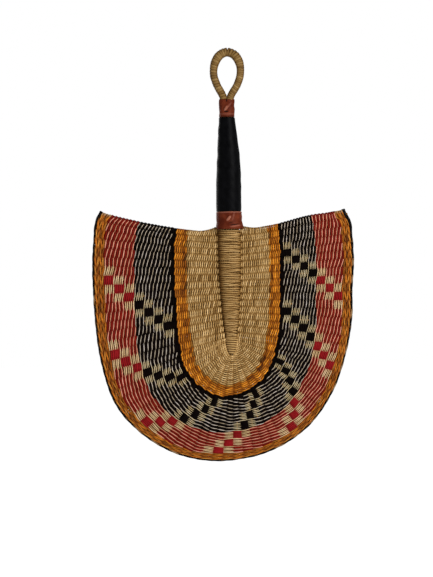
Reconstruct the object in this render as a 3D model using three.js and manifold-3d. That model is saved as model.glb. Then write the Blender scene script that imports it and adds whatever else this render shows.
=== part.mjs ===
import * as THREE from 'three';
import { mergeVertices } from 'three/addons/utils/BufferGeometryUtils.js';
import Module from 'manifold-3d';

const wasm = await Module();
wasm.setup();

// A woven straw hand fan: a straw bundle is the handle and the spine, stakes fan out from it,
// and bands of twined straw are woven round the stakes. Millimetres, +Z up.
// The origin is the inside of the hanging loop's crown, which bears on a peg or a nail.
// The handle runs down the Z axis, the blade lies in the XZ plane and its front faces -Y.

// Gap between pieces that touch, and between the woven bands
const fit = 0.3;

// Hanging loop: a bent bundle of straw, wound with a flat straw
const loopCrownThickness = 10.4;
const loopLegThickness = 8.6;
const loopOpeningHeight = 51;
const loopLegSpacing = 9.1;
const loopLegTuck = 1.2;
const loopStrawWidth = 4.6;
const loopStrawThickness = 1.3;
const loopStrawGap = 0.7;
const loopTurns = 24;
// The loop's crown is an oval: half the width of its middle line, how far that line rises above
// its widest place, and how far past that place the oval goes on, in degrees
const loopHalfWidth = 16.2;
const loopCrownRise = 23.6;
const crownOverhang = 40;

// Leather: two red collars and the black grip between them
const leather = 1.4;
const upperCollarHeight = 21.8;
const upperCollarMouth = 10.6;
const loopSocketDepth = 14;
const gripLength = 113;
const gripTopWidth = 19;
const gripWidth = 30.2;
const gripSwellLength = 66;
const gripLapWidth = 6;
const gripLap = 0.9;
const lapRunOut = 0.9;
const lowerCollarHeight = 20.9;
const lowerCollarFlare = 0.5;
const lowerCollarWaist = 0.2;
const lowerCollarFold = 0.2;
const laceWidth = 2.4;
const laceThickness = 1;
const laceTopShare = 0.7;
const laceLength = 9;
const lowerLaceDrop = 8.4;
const laceTurn = 0.45;

// Spine: the straw bundle below the grip, with the crossing stakes wound round it
const spineTipLength = 21.1;
const spineTopWidth = 27;
const spineTipWidth = 9;
const spineTipBlunt = 0.06;
const spineTaper = 1.45;
const spineRoundness = 0.75;
const wrapThickness = 1.6;
const wrapGroove = 0.7;
const strawsPerWrap = 3;
const wrapPitch = 7.7;

// Stakes: crossing ones, some on one side only, and forked ones round the foot of the blade
const crossCount = 17;
const sideCount = 4;
const forkCount = 14;
const stakeWidth = 2.6;
const stakeTipWidth = 0.9;
const stakeThickness = 2;
const prongStartSpread = 0.1;
const prongWovenSpread = 0.25;
const prongFullSpread = 0.5;
// How far inside its stem a prong starts, as a share of the way to the rim
const prongRoot = 0.01;

// Spacing of the stakes along the rim: at the left, at the right, and added at the foot
const rimPitchLeft = 11.5;
const rimPitchRight = 9.8;
const rimPitchFootExtra = 2.8;

// Blade: its width, and how far its foot lies below the top of the spine
const bladeWidth = 314;
const bladeDrop = 277.4;
// Outline of the rim from the left top corner round the foot to the right top corner, as
// [across from the handle's axis, up from the top of the spine], fitted to the sizes above
const rimPoints = [
  [-154.2, 24.2], [-160.2, 14.2], [-163.6, 0], [-165.8, -38], [-163.8, -100], [-157, -158],
  [-140, -209], [-105.7, -245.8], [-60, -270.6], [-12, -277.4], [42, -266.9], [89, -238.4],
  [121, -194.8], [138.7, -143], [144.8, -106], [145, -78], [148.2, -42], [147.4, -12],
  [145.7, 5], [141.4, 20.6],
];
// How far the top edge sags below a straight line at the left and at the right, where on its
// way to the rim it is lowest, and how many stakes share the sag
const topSagLeft = 6.4;
const topSagRight = 1.8;
const lowestSagLeft = 0.4;
const lowestSagRight = 0.22;
const sagSharpness = 1.2;
const sagStakes = 5;

// Woven bands, from the spine to the rim: rows, and the height of a row at the sides and foot.
// A ribbed band swells over each stake, and a parted one lies where the forks' prongs have parted.
const bands = [
  { name: 'natural_field', rows: 15, side: 2.6, foot: 2.25, color: '#92703f', ribbed: true },
  { name: 'inner_orange_band', rows: 6, side: 2.47, foot: 2.25, color: '#8a551a', ribbed: true },
  {
    name: 'black_check_band', rows: 22, side: 2.24, foot: 1.96, color: '#2b2620',
    ribbed: true, parted: true,
  },
  {
    name: 'red_check_band', rows: 15, side: 2.5, foot: 1.68, color: '#7a2a1c',
    ribbed: true, parted: true,
  },
  { name: 'outer_orange_band', rows: 4, side: 2.81, foot: 1.5, color: '#84481b', parted: true },
  { name: 'rim_binding', rows: 1, side: 3.59, foot: 2.85, color: '#17100a', parted: true },
];
const weaveStart = 1.2;
const weaveStartFoot = 4.5;
const weaveThickness = 4.6;
const weaveValley = 2.4;
const weaveFlat = 3.8;
const rimThickness = 4.4;
const rimTwist = 0.14;

// Heights down the handle
const loopBaseZ = -loopOpeningHeight;
const upperCollarBottom = loopBaseZ - upperCollarHeight;
const gripTop = upperCollarBottom - fit;
const gripBottom = gripTop - gripLength + fit;
const lowerCollarTop = gripBottom - fit;
const lowerCollarBottom = lowerCollarTop - lowerCollarHeight;
const spineTop = lowerCollarBottom - fit;
const wrapsEnd = spineTop - crossCount * wrapPitch;
const spineTip = wrapsEnd - spineTipLength;
const coreTop = loopBaseZ - loopSocketDepth;

// Facets
const bundleSides = 8;
const collarSides = 16;
const gripSides = 18;
const loopCoreSteps = 30;
const crownPoints = 9;
const loopCoreSides = 6;
const turnSteps = 8;
const tipSteps = 4;
const swellSteps = 3;
const laceSteps = 4;
// How far the flat sides of the bundle lie inside its corners
const flatShare = Math.cos(Math.PI / bundleSides);

const mix = THREE.MathUtils.lerp;
const smooth = THREE.MathUtils.smoothstep;
const vec = (x, y, z) => new THREE.Vector3(x, y, z);
const part = new THREE.Group();

// Finishes
const finish = (color, roughness) => new THREE.MeshStandardMaterial({ color, roughness, metalness: 0 });
const straw = finish('#8f6e42', 0.75);
const loopStraw = finish('#9a8058', 0.75);
const redLeather = finish('#642f1e', 0.6);
const blackLeather = finish('#101011', 0.45);
const weaveFinish = (band) => finish(band.color, 0.8);

function place(name, geometry, material) {
  const mesh = new THREE.Mesh(geometry, material);
  mesh.name = name;
  part.add(mesh);
}

// A closed mesh from points and triangles, with its faces turned outwards
function closedMesh(points, triangles) {
  let volume = 0;
  for (const [a, b, c] of triangles) {
    volume += points[a].dot(vec(0, 0, 0).crossVectors(points[b], points[c]));
  }
  const faces = volume < 0 ? triangles.map(([a, b, c]) => [a, c, b]) : triangles;
  const geometry = new THREE.BufferGeometry();
  const coordinates = points.flatMap((point) => point.toArray());
  geometry.setAttribute('position', new THREE.Float32BufferAttribute(coordinates, 3));
  geometry.setIndex(faces.flat());
  return geometry;
}

// A skin through a row of rings that all have the same number of points.
// It closes its ends, or runs round on itself when looped.
function loft(rings, looped = false) {
  const sides = rings[0].length;
  const triangles = [];
  const last = looped ? rings.length : rings.length - 1;
  for (let r = 0; r < last; r += 1) {
    const here = r * sides;
    const next = ((r + 1) % rings.length) * sides;
    for (let k = 0; k < sides; k += 1) {
      const k2 = (k + 1) % sides;
      triangles.push([here + k, next + k, next + k2], [here + k, next + k2, here + k2]);
    }
  }
  if (!looped) {
    const end = (rings.length - 1) * sides;
    for (let k = 1; k < sides - 1; k += 1) {
      triangles.push([0, k, k + 1], [end, end + k + 1, end + k]);
    }
  }
  return closedMesh(rings.flat(), triangles);
}

// A level oval ring of points round the handle's axis, with a flat side towards each stake
function ovalRing(halfWidth, halfDepth, z, sides) {
  return Array.from({ length: sides }, (_, k) => {
    const angle = (2 * Math.PI * k) / sides + Math.PI / bundleSides;
    return vec(halfWidth * Math.cos(angle), halfDepth * Math.sin(angle), z);
  });
}

function toSolid(geometry) {
  const bare = geometry.clone();
  bare.deleteAttribute('normal');
  bare.deleteAttribute('uv');
  const merged = mergeVertices(bare, 1e-4);
  const mesh = new wasm.Mesh({
    numProp: 3,
    vertProperties: new Float32Array(merged.attributes.position.array),
    triVerts: new Uint32Array(merged.index.array),
  });
  return new wasm.Manifold(mesh);
}

function fromSolid(solid) {
  const mesh = solid.getMesh();
  const geometry = new THREE.BufferGeometry();
  geometry.setAttribute('position', new THREE.BufferAttribute(new Float32Array(mesh.vertProperties), 3));
  geometry.setIndex(new THREE.BufferAttribute(new Uint32Array(mesh.triVerts), 1));
  return geometry;
}

function join(geometries) {
  return fromSolid(geometries.map(toSolid).reduce((whole, piece) => whole.add(piece)));
}

// Outer half width of the dressed handle
function gripHalfWidth(z) {
  const swell = smooth(gripTop - z, 0, gripSwellLength);
  return mix(gripTopWidth, gripWidth, swell) / 2;
}

// Outer half width of the wound spine
function spineHalfWidth(z) {
  const along = THREE.MathUtils.clamp((spineTop - z) / (spineTop - spineTip), 0, 1);
  const taper = Math.cos((Math.PI / 2) * along ** spineTaper);
  return mix(spineTipWidth, spineTopWidth, taper) / 2;
}

// Half width and half depth of the straw bundle at a height
function bundleAt(z) {
  if (z > spineTop) {
    const half = gripHalfWidth(Math.min(z, gripTop)) - leather - fit;
    return [half, half];
  }
  if (z >= wrapsEnd) {
    const half = spineHalfWidth(z) / flatShare - wrapThickness - fit;
    return [half, half * spineRoundness];
  }
  const [half, depth] = bundleAt(wrapsEnd);
  const round = Math.sqrt(Math.max(0, 1 - ((wrapsEnd - z) / (wrapsEnd - spineTip)) ** 2));
  return [half * round, depth * round];
}

// A ring round the bundle, standing off it by a distance
function bundleRing(z, offset, sides) {
  const [halfWidth, halfDepth] = bundleAt(z);
  return ovalRing(halfWidth + offset, halfDepth + offset, z, sides);
}

// The straw bundle from the loop's socket to the tip of the spine
function makeStrawCore() {
  const heights = [coreTop, gripTop];
  for (let k = 1; k <= swellSteps; k += 1) heights.push(gripTop - (gripSwellLength * k) / swellSteps);
  heights.push(lowerCollarBottom);
  for (let k = 0; k <= crossCount; k += 1) heights.push(spineTop - k * wrapPitch);
  for (let k = 1; k < tipSteps; k += 1) {
    heights.push(mix(wrapsEnd, spineTip, Math.sin((Math.PI / 2) * (k / tipSteps))));
  }
  heights.push(spineTip + spineTipBlunt);
  const rings = heights.map((z) => bundleRing(z, 0, bundleSides));
  place('straw_core', loft(rings), straw);
}

// Middle line of the loop: up one leg, round the crown and down the other leg
const loopWidestZ = loopCrownThickness / 2 - loopCrownRise;
const socketZ = coreTop + fit;

function makeLoopCurve() {
  const leg = loopLegSpacing / 2;
  const points = [vec(-leg + loopLegTuck, 0, socketZ), vec(-leg, 0, loopBaseZ)];
  for (let k = 0; k < crownPoints; k += 1) {
    const degrees = mix(180 + crownOverhang, -crownOverhang, k / (crownPoints - 1));
    const angle = THREE.MathUtils.degToRad(degrees);
    const across = loopHalfWidth * Math.cos(angle);
    points.push(vec(across, 0, loopWidestZ + loopCrownRise * Math.sin(angle)));
  }
  points.push(vec(leg, 0, loopBaseZ), vec(leg - loopLegTuck, 0, socketZ));
  return new THREE.CatmullRomCurve3(points, false, 'centripetal');
}

const loopCurve = makeLoopCurve();

// Share of the way from leg to crown
const crownShare = (z) => smooth(z, loopWidestZ, 0);

function loopFrame(t) {
  const point = loopCurve.getPointAt(t);
  const along = loopCurve.getTangentAt(t);
  const out = vec(0, 1, 0);
  return { point, along, out, side: vec(0, 0, 0).crossVectors(along, out) };
}

// The bundle's half thickness under the winding
function loopCoreRadius(z) {
  const outer = mix(loopLegThickness, loopCrownThickness, crownShare(z)) / 2;
  return outer - loopStrawThickness - fit;
}

function makeLoopCore() {
  const rings = [];
  for (let k = 0; k <= loopCoreSteps; k += 1) {
    const { point, out, side } = loopFrame(k / loopCoreSteps);
    const radius = loopCoreRadius(point.z);
    rings.push(Array.from({ length: loopCoreSides }, (_, n) => {
      const angle = (2 * Math.PI * (n + 0.5)) / loopCoreSides;
      return point.clone()
        .addScaledVector(side, radius * Math.cos(angle))
        .addScaledVector(out, radius * Math.sin(angle));
    }));
  }
  place('loop_core', loft(rings), straw);
}

// Where the winding begins and ends along the loop: just above the collar
function findWindingStart() {
  const clearOfCollar = loopBaseZ + loopStrawWidth / 2 + loopStrawThickness;
  const step = 0.001;
  let t = 0;
  while (loopCurve.getPointAt(t).z < clearOfCollar) t += step;
  return t;
}

// One flat straw wound round the bundle in an unbroken helix
function makeLoopWinding() {
  const start = findWindingStart();
  const steps = loopTurns * turnSteps;
  const pathAt = (k) => {
    const t = mix(start, 1 - start, k / steps);
    const { point, along, out, side } = loopFrame(t);
    const angle = (2 * Math.PI * k) / turnSteps;
    const away = side.clone().multiplyScalar(Math.cos(angle)).addScaledVector(out, Math.sin(angle));
    const clear = loopCoreRadius(point.z) / Math.cos(Math.PI / turnSteps) + fit;
    const radius = clear + loopStrawThickness / 2;
    return { point: point.clone().addScaledVector(away, radius), away, along };
  };
  const rings = [];
  const halfThickness = loopStrawThickness / 2;
  // The straw's section, crowned outside and keeled inside, in halves of its width and thickness
  const section = [[-1, -0.4], [-0.6, 1], [0.6, 1], [1, -0.4], [0, -1]];
  for (let k = 0; k <= steps; k += 1) {
    const { point, away, along } = pathAt(k);
    // The straw is squeezed narrower where its turns crowd inside the crown
    const neighbour = pathAt(k < steps / 2 ? k + turnSteps : k - turnSteps).point;
    const halfWidth = Math.min(loopStrawWidth, point.distanceTo(neighbour) - loopStrawGap) / 2;
    rings.push(section.map(([across, up]) => point.clone()
      .addScaledVector(along, across * halfWidth)
      .addScaledVector(away, up * halfThickness)));
  }
  place('loop_winding', loft(rings), loopStraw);
  return rings;
}

// Least gap between turns of the winding that lie a turn apart, measured on its points
function leastWindingGap(rings) {
  const nearby = 2;
  let least = Infinity;
  for (let k = 0; k + turnSteps < rings.length; k += 1) {
    for (let m = -nearby; m <= nearby; m += 1) {
      const other = rings[k + turnSteps + m];
      if (!other) continue;
      for (const a of rings[k]) for (const b of other) least = Math.min(least, a.distanceTo(b));
    }
  }
  return least;
}

// The upper collar grips both legs of the loop and the top of the bundle
function collarHalfDepth(z) {
  const share = smooth(loopBaseZ - z, 0, loopSocketDepth);
  return mix(upperCollarMouth / 2, gripTopWidth / 2, share);
}

function makeUpperCollar() {
  const halfWidth = gripTopWidth / 2;
  const heights = [loopBaseZ, mix(loopBaseZ, coreTop, 0.5), coreTop, upperCollarBottom];
  const outer = heights.map((z) => ovalRing(halfWidth, collarHalfDepth(z), z, collarSides));
  const inner = heights.map((z) => {
    return ovalRing(halfWidth - leather, collarHalfDepth(z) - leather, z, collarSides);
  });
  place('upper_collar', loft([...outer, ...inner.reverse()], true), redLeather);
}

// The grip is one piece of leather rolled round the bundle, lapped and sewn at the back
function makeGrip() {
  const heights = [gripTop];
  for (let k = 1; k <= swellSteps; k += 1) heights.push(gripTop - (gripSwellLength * k) / swellSteps);
  heights.push(gripBottom);
  const lapHalfAngle = gripLapWidth / gripWidth;
  const angles = [];
  for (let k = 0; k < gripSides; k += 1) {
    const round = mix(lapHalfAngle, 2 * Math.PI - lapHalfAngle, k / (gripSides - 1));
    angles.push({ angle: round - 1.5 * Math.PI, lap: 0 });
  }
  angles.push({ angle: Math.PI / 2 - lapHalfAngle, lap: gripLap });
  angles.push({ angle: Math.PI / 2, lap: gripLap });
  angles.push({ angle: Math.PI / 2 + lapHalfAngle * lapRunOut, lap: gripLap / 2 });
  const ringAt = (z, offset, lapped) => angles.map(({ angle, lap }) => {
    const [halfWidth, halfDepth] = bundleAt(z);
    const reach = offset + (lapped ? lap : 0);
    const x = (halfWidth + reach) * Math.cos(angle);
    return vec(x, (halfDepth + reach) * Math.sin(angle), z);
  });
  const outer = heights.map((z) => ringAt(z, fit + leather, true));
  const inner = heights.map((z) => ringAt(z, fit, false));
  place('grip_sleeve', loft([...outer, ...inner.reverse()], true), blackLeather);
}

// The lower collar flares a little over the top of the spine
function makeLowerCollar() {
  const middle = mix(lowerCollarTop, lowerCollarBottom, 0.5);
  const stations = [[lowerCollarTop, 0], [middle, lowerCollarWaist], [lowerCollarBottom, 1]];
  const ringAt = (z, offset, flare) => bundleRing(z, offset + flare * lowerCollarFlare, collarSides);
  const outer = stations.map(([z, flare]) => ringAt(z, fit + leather + lowerCollarFold, flare));
  const inner = stations.map(([z, flare]) => ringAt(z, fit, flare));
  place('lower_collar', loft([...outer, ...inner.reverse()], true), redLeather);
}

// A short leather lace lying aslant on the front of a collar
function makeLace(name, centreZ, surfaceAt) {
  const rings = [];
  for (let k = 0; k <= laceSteps; k += 1) {
    const along = laceLength * (k / laceSteps - 0.5);
    const x = along * Math.cos(laceTurn);
    const z = centreZ + along * Math.sin(laceTurn);
    const back = -surfaceAt(x, z) - fit;
    const front = back - laceThickness;
    const dx = -Math.sin(laceTurn) * (laceWidth / 2);
    const dz = Math.cos(laceTurn) * (laceWidth / 2);
    rings.push([
      vec(x - dx, back, z - dz), vec(x + dx, back, z + dz),
      vec(x + dx * laceTopShare, front, z + dz * laceTopShare),
      vec(x - dx * laceTopShare, front, z - dz * laceTopShare),
    ]);
  }
  place(name, loft(rings), redLeather);
}

function ovalDepth(x, halfWidth, halfDepth) {
  return halfDepth * Math.sqrt(Math.max(0, 1 - (x / halfWidth) ** 2));
}

function makeLaces() {
  const upperZ = loopBaseZ - upperCollarHeight / 2;
  makeLace('upper_collar_lace', upperZ, (x, z) => {
    return ovalDepth(x, gripTopWidth / 2, collarHalfDepth(z - laceWidth / 2));
  });
  const lowerZ = lowerCollarTop - lowerLaceDrop;
  makeLace('lower_collar_lace', lowerZ, (x, z) => {
    const [halfWidth, halfDepth] = bundleAt(z);
    const skin = fit + leather + lowerCollarFold + lowerCollarFlare / 2;
    return ovalDepth(x, halfWidth + skin, halfDepth + skin);
  });
}

// Places on the blade are given by s, which counts stakes from the left top corner round the
// foot to the right top corner, and by v, which is 0 at the spine and 1 at the rim.
const forkedStart = crossCount + sideCount;
const stakeCount = forkedStart + 2 * forkCount + crossCount;
const sAfterForks = forkedStart + 2 * forkCount;

function makeRimCurve() {
  const across = rimPoints.map((point) => point[0]);
  const up = rimPoints.map((point) => point[1]);
  const wider = bladeWidth / (Math.max(...across) - Math.min(...across));
  const deeper = -bladeDrop / Math.min(...up);
  const points = across.map((x, k) => vec(x * wider, 0, spineTop + up[k] * deeper));
  return new THREE.CatmullRomCurve3(points, false, 'centripetal');
}

const rimCurve = makeRimCurve();
rimCurve.arcLengthDivisions = 800;

const tipCurve = new THREE.EllipseCurve(
  0, wrapsEnd,
  bundleAt(wrapsEnd)[0] * flatShare + fit + wrapThickness, wrapsEnd - spineTip + fit,
  Math.PI, 2 * Math.PI,
);

// Distance along the rim when the stakes' spacing swells towards the foot
function rimReach(share) {
  const swell = share / 2 - Math.sin(2 * Math.PI * share) / (4 * Math.PI);
  const slope = ((rimPitchRight - rimPitchLeft) * share ** 2) / 2;
  return rimPitchLeft * share + slope + rimPitchFootExtra * swell;
}

const aroundShare = (s) => THREE.MathUtils.clamp((s + 0.5) / stakeCount, 0, 1);
const footShare = (s) => Math.sin(Math.PI * aroundShare(s)) ** 2;
const tipShare = (s) => footShare(s) ** 3;

function rimPoint(s) {
  return rimCurve.getPointAt(rimReach(aroundShare(s)) / rimReach(1));
}

function spinePoint(s) {
  const fromLeft = s + 0.5;
  const fromRight = stakeCount - 0.5 - s;
  if (fromLeft <= crossCount || fromRight <= crossCount) {
    const z = spineTop - Math.min(fromLeft, fromRight) * wrapPitch;
    const half = spineHalfWidth(z) + fit;
    return vec(fromLeft <= crossCount ? -half : half, 0, z);
  }
  const past = fromLeft - crossCount;
  const roots = past < sideCount ? past : sideCount + (past - sideCount) / 2;
  const point = tipCurve.getPointAt(roots / (sideCount + forkCount));
  return vec(point.x, 0, point.y);
}

// The top edge of the blade sags, and the next few stakes less and less
const onLeft = (s) => s < (stakeCount - 1) / 2;
const fromTopEdge = (s) => Math.min(s + 0.5, stakeCount - 0.5 - s);
const lowestSagAt = (s) => (onLeft(s) ? lowestSagLeft : lowestSagRight);
const sagShape = (v, lowest) => v ** lowest * Math.max(0, 1 - v) ** (1 - lowest);

function sagAt(s, v) {
  const fade = Math.max(0, 1 - fromTopEdge(s) / sagStakes) ** 2;
  const lowest = lowestSagAt(s);
  const depth = onLeft(s) ? topSagLeft : topSagRight;
  return depth * fade * (sagShape(v, lowest) / sagShape(lowest, lowest)) ** sagSharpness;
}

function bladePoint(s, v) {
  const point = spinePoint(s).lerp(rimPoint(s), v);
  point.z -= sagAt(s, v);
  return point;
}

// Direction of a row of weave at a place on the blade
function rowDirection(s, v) {
  const step = 0.25;
  const ahead = bladePoint(Math.min(s + step, stakeCount - 0.5), v);
  const behind = bladePoint(Math.max(s - step, -0.5), v);
  return ahead.sub(behind).normalize();
}

// Edges of the bands as shares of the way from the spine to the rim
const totalSide = bands.reduce((sum, band) => sum + band.rows * band.side, 0);
const totalFoot = bands.reduce((sum, band) => sum + band.rows * band.foot, 0);

function bandEdge(index, s) {
  let side = 0;
  let foot = 0;
  for (const band of bands.slice(0, index)) {
    side += band.rows * band.side;
    foot += band.rows * band.foot;
  }
  return mix(side / totalSide, foot / totalFoot, footShare(s));
}

const stakeLengthAt = (s) => spinePoint(s).distanceTo(rimPoint(s));

// Inner and outer edge of a band with its share of the gap taken off
function bandSpan(index, s) {
  const gap = fit / 2 / stakeLengthAt(s);
  const start = mix(weaveStart, weaveStartFoot, tipShare(s)) / stakeLengthAt(s);
  const inner = index === 0 ? start : bandEdge(index, s) + gap;
  const outer = bandEdge(index + 1, s) - (index === bands.length - 1 ? 0 : gap);
  return [inner, outer];
}

// How far a prong stands from the middle of its fork, in stakes
function prongSpread(v, s) {
  const [fork, woven, full] = [1, 2, 3].map((index) => bandEdge(index, s));
  if (v <= fork) return 0;
  if (v <= woven) return mix(prongStartSpread, prongWovenSpread, (v - fork) / (woven - fork));
  return mix(prongWovenSpread, prongFullSpread, Math.min(1, (v - woven) / (full - woven)));
}

const halfWidthAt = (stake, v) => mix(stake.tip ? stakeTipWidth : stakeWidth, stakeWidth, v) / 2;

// Every stake: its place in the count, and whether it springs from the spine's tip or forks
function listStakes() {
  const stakes = [];
  for (let k = 0; k < crossCount; k += 1) {
    stakes.push({ s: k, tip: false, forked: false });
  }
  for (let k = 0; k < sideCount; k += 1) {
    stakes.push({ s: crossCount + k, tip: true, forked: false });
  }
  for (let k = 0; k < forkCount; k += 1) {
    stakes.push({ s: forkedStart + 0.5 + 2 * k, tip: true, forked: true });
  }
  for (let k = 0; k < crossCount; k += 1) {
    stakes.push({ s: sAfterForks + k, tip: false, forked: false });
  }
  return stakes;
}

const stakes = listStakes();
const stakesEnd = (s) => bandSpan(bands.length - 2, s)[1];

// A straight-sided rod through places on the blade
function rod(stops, halfWidths, first = null) {
  const high = stakeThickness / 2;
  const rings = stops.map(([s, v], k) => {
    const centre = bladePoint(s, v);
    const across = rowDirection(s, v).multiplyScalar(halfWidths[k]);
    const up = vec(0, high, 0);
    return [
      centre.clone().sub(across).sub(up), centre.clone().add(across).sub(up),
      centre.clone().add(across).add(up), centre.clone().sub(across).add(up),
    ];
  });
  if (first) {
    const shift = first.clone().sub(bladePoint(...stops[0]));
    rings.unshift(rings[0].map((point) => point.clone().add(shift)));
  }
  return loft(rings);
}

// Places where a stake can bend: where the weave begins, and the edges of the bands
function stops(stake, sAt, from = 0) {
  const edgeAt = (index) => bandEdge(index, stake.s);
  let bends = [];
  if (stake.forked) bends = [1, 2, 3].map(edgeAt);
  else if (fromTopEdge(stake.s) < sagStakes) {
    bends = [bandSpan(0, stake.s)[0], ...[1, 2, 3, 4].map(edgeAt)];
  }
  return [from, ...bends, stakesEnd(stake.s)].map((v) => [sAt(v), v]);
}

function singleRod(stake, first) {
  const places = stops(stake, () => stake.s);
  return rod(places, places.map(([, v]) => halfWidthAt(stake, v)), first);
}

// The turns of a crossing stake round the spine: straws side by side
function wrapRing(index) {
  const top = spineTop - index * wrapPitch - fit / 2;
  const bottom = top - wrapPitch + fit;
  const stations = [];
  const last = 2 * strawsPerWrap - 2;
  for (let k = 0; k <= last; k += 1) {
    const groove = k % 2 === 0 ? 0 : wrapGroove;
    stations.push([mix(top, bottom, k / last), fit + wrapThickness - groove]);
  }
  stations.push([bottom, fit], [top, fit]);
  return loft(stations.map(([z, offset]) => bundleRing(z, offset, bundleSides)), true);
}

function makeCrossingStakes() {
  for (let k = 0; k < crossCount; k += 1) {
    const left = stakes[k];
    const right = stakes[stakes.length - 1 - k];
    const z = spinePoint(left.s).z;
    const into = spineHalfWidth(z) - (wrapThickness * flatShare) / 2;
    const pieces = [wrapRing(k), singleRod(left, vec(-into, 0, z)), singleRod(right, vec(into, 0, z))];
    place(`cross_stake_${String(k + 1).padStart(2, '0')}`, join(pieces), straw);
  }
}

function makeSideStakes() {
  for (let k = 0; k < sideCount; k += 1) {
    const stake = stakes[crossCount + k];
    place(`side_stake_${String(k + 1).padStart(2, '0')}`, singleRod(stake, null), straw);
  }
}

// A stake of the foot is one bundle at the spine and forks in two where the blade widens
function makeFootStakes() {
  for (let k = 0; k < forkCount; k += 1) {
    const stake = stakes[forkedStart + k];
    const fork = bandEdge(1, stake.s);
    const stemStops = [[stake.s, 0], [stake.s, fork]];
    const stem = rod(stemStops, stemStops.map(([, v]) => halfWidthAt(stake, v)));
    const prongs = [-1, 1].map((side) => {
      const places = stops(stake, (v) => stake.s + side * prongSpread(v, stake.s), fork - prongRoot);
      return rod(places, places.map(([, v]) => halfWidthAt(stake, v)));
    });
    place(`foot_stake_${String(k + 1).padStart(2, '0')}`, join([stem, ...prongs]), straw);
  }
}

// The slots of a band: where each stake passes and how wide its slot is
function channels(index, vAt) {
  const list = [];
  for (const stake of stakes) {
    const v = vAt(stake.s);
    const half = halfWidthAt(stake, v) + fit;
    if (!stake.forked) {
      list.push({ s: stake.s, half });
    } else if (bands[index].parted) {
      const spread = prongSpread(v, stake.s);
      list.push({ s: stake.s - spread, half }, { s: stake.s + spread, half });
    } else {
      const apart = rimSpan(stake.s, v) * prongSpread(v, stake.s);
      list.push({ s: stake.s, half: half + apart });
    }
  }
  return list;
}

// Distance between neighbouring stakes at a place
function rimSpan(s, v) {
  return bladePoint(s + 0.5, v).distanceTo(bladePoint(s - 0.5, v));
}

// One edge of a band: a cell of weave for each stake, with a slot where the stake passes.
// A ribbed cell is thick over the stake, and every cell is thin where it meets the next.
function bandSection(index, edge, points) {
  const { ribbed } = bands[index];
  const crest = weaveThickness / 2;
  const dip = (ribbed ? weaveValley : weaveFlat) / 2;
  const high = stakeThickness / 2 + fit;
  const vAt = (s) => bandSpan(index, s)[edge];
  const slots = channels(index, vAt);
  const put = (point, y) => points.push(vec(point.x, y, point.z)) - 1;
  const seams = [-0.5];
  for (let k = 1; k < slots.length; k += 1) seams.push((slots[k - 1].s + slots[k].s) / 2);
  seams.push(stakeCount - 0.5);
  const dips = seams.map((s) => {
    const point = bladePoint(s, vAt(s));
    return { front: put(point, -dip), back: put(point, dip), s };
  });
  return slots.map(({ s, half }, k) => {
    const v = vAt(s);
    const centre = bladePoint(s, v);
    const across = rowDirection(s, v).multiplyScalar(half);
    const left = centre.clone().sub(across);
    const right = centre.clone().add(across);
    const outline = [dips[k].front, dips[k + 1].front, dips[k + 1].back, dips[k].back];
    if (ribbed) {
      outline.splice(1, 0, put(centre, -crest));
      outline.splice(4, 0, put(centre, crest));
    }
    return { outline, slot: [put(left, -high), put(right, -high), put(right, high), put(left, high)] };
  });
}

// Triangles that fill a cell round its slot
function fillCell({ outline, slot }, points) {
  const origin = points[outline[0]];
  const flat = (id) => {
    const { x, y, z } = points[id];
    return new THREE.Vector2(Math.hypot(x - origin.x, z - origin.z), y);
  };
  const faces = THREE.ShapeUtils.triangulateShape(outline.map(flat), [slot.map(flat)]);
  const ids = [...outline, ...slot];
  return faces.map((face) => {
    const [a, b, c] = face.map((k) => flat(ids[k]));
    const turn = b.sub(a).cross(c.sub(a));
    const corners = face.map((k) => ids[k]);
    return turn > 0 ? corners : corners.reverse();
  });
}

// A band of weave from its inner edge to its outer edge
function makeBand(index) {
  const points = [];
  const triangles = [];
  const inner = bandSection(index, 0, points);
  const outer = bandSection(index, 1, points);
  const wall = (a, b, c, d) => triangles.push([a, c, b], [b, c, d]);
  inner.forEach((cell, k) => {
    const far = outer[k];
    const sides = cell.outline.length;
    for (let n = 0; n < sides; n += 1) {
      const next = (n + 1) % sides;
      const open = (n === sides / 2 - 1 && k < inner.length - 1) || (n === sides - 1 && k > 0);
      if (!open) wall(cell.outline[n], cell.outline[next], far.outline[n], far.outline[next]);
    }
    for (let n = 0; n < 4; n += 1) {
      const next = (n + 1) % 4;
      wall(cell.slot[next], cell.slot[n], far.slot[next], far.slot[n]);
    }
    triangles.push(...fillCell(cell, points));
    triangles.push(...fillCell(far, points).map(([a, b, c]) => [a, c, b]));
  });
  place(bands[index].name, closedMesh(points, triangles), weaveFinish(bands[index]));
}

// The rim is bound with two black strands twisted round each other, one square section
function makeRim() {
  const index = bands.length - 1;
  const rings = [];
  const section = [1, 3, 5, 7].map((eighth) => (Math.PI / 4) * eighth);
  for (let k = 0; k <= 2 * stakeCount; k += 1) {
    const s = -0.5 + k / 2;
    const [inner, outer] = bandSpan(index, s);
    const near = bladePoint(s, inner);
    const far = bladePoint(s, outer);
    const fat = k % 2 === 0 ? 1 - rimTwist : 1;
    const middle = near.clone().lerp(far, 0.5);
    const reach = far.clone().sub(near).multiplyScalar(0.5);
    rings.push(section.map((angle) => {
      const point = middle.clone().addScaledVector(reach, Math.SQRT2 * Math.cos(angle) * fat);
      point.y = (rimThickness / 2) * Math.SQRT2 * Math.sin(angle) * fat;
      return point;
    }));
  }
  place(bands[index].name, loft(rings), weaveFinish(bands[index]));
}

makeStrawCore();
makeLoopCore();
const windingRings = makeLoopWinding();
makeUpperCollar();
makeGrip();
makeLowerCollar();
makeLaces();
makeCrossingStakes();
makeSideStakes();
makeFootStakes();
for (let index = 0; index < bands.length - 1; index += 1) makeBand(index);
makeRim();

console.log('least gap between turns of the loop winding, mm:', leastWindingGap(windingRings).toFixed(2));

export default part;
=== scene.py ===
import math

import bmesh
import bpy
import numpy as np
from mathutils import Matrix, Vector


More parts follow.
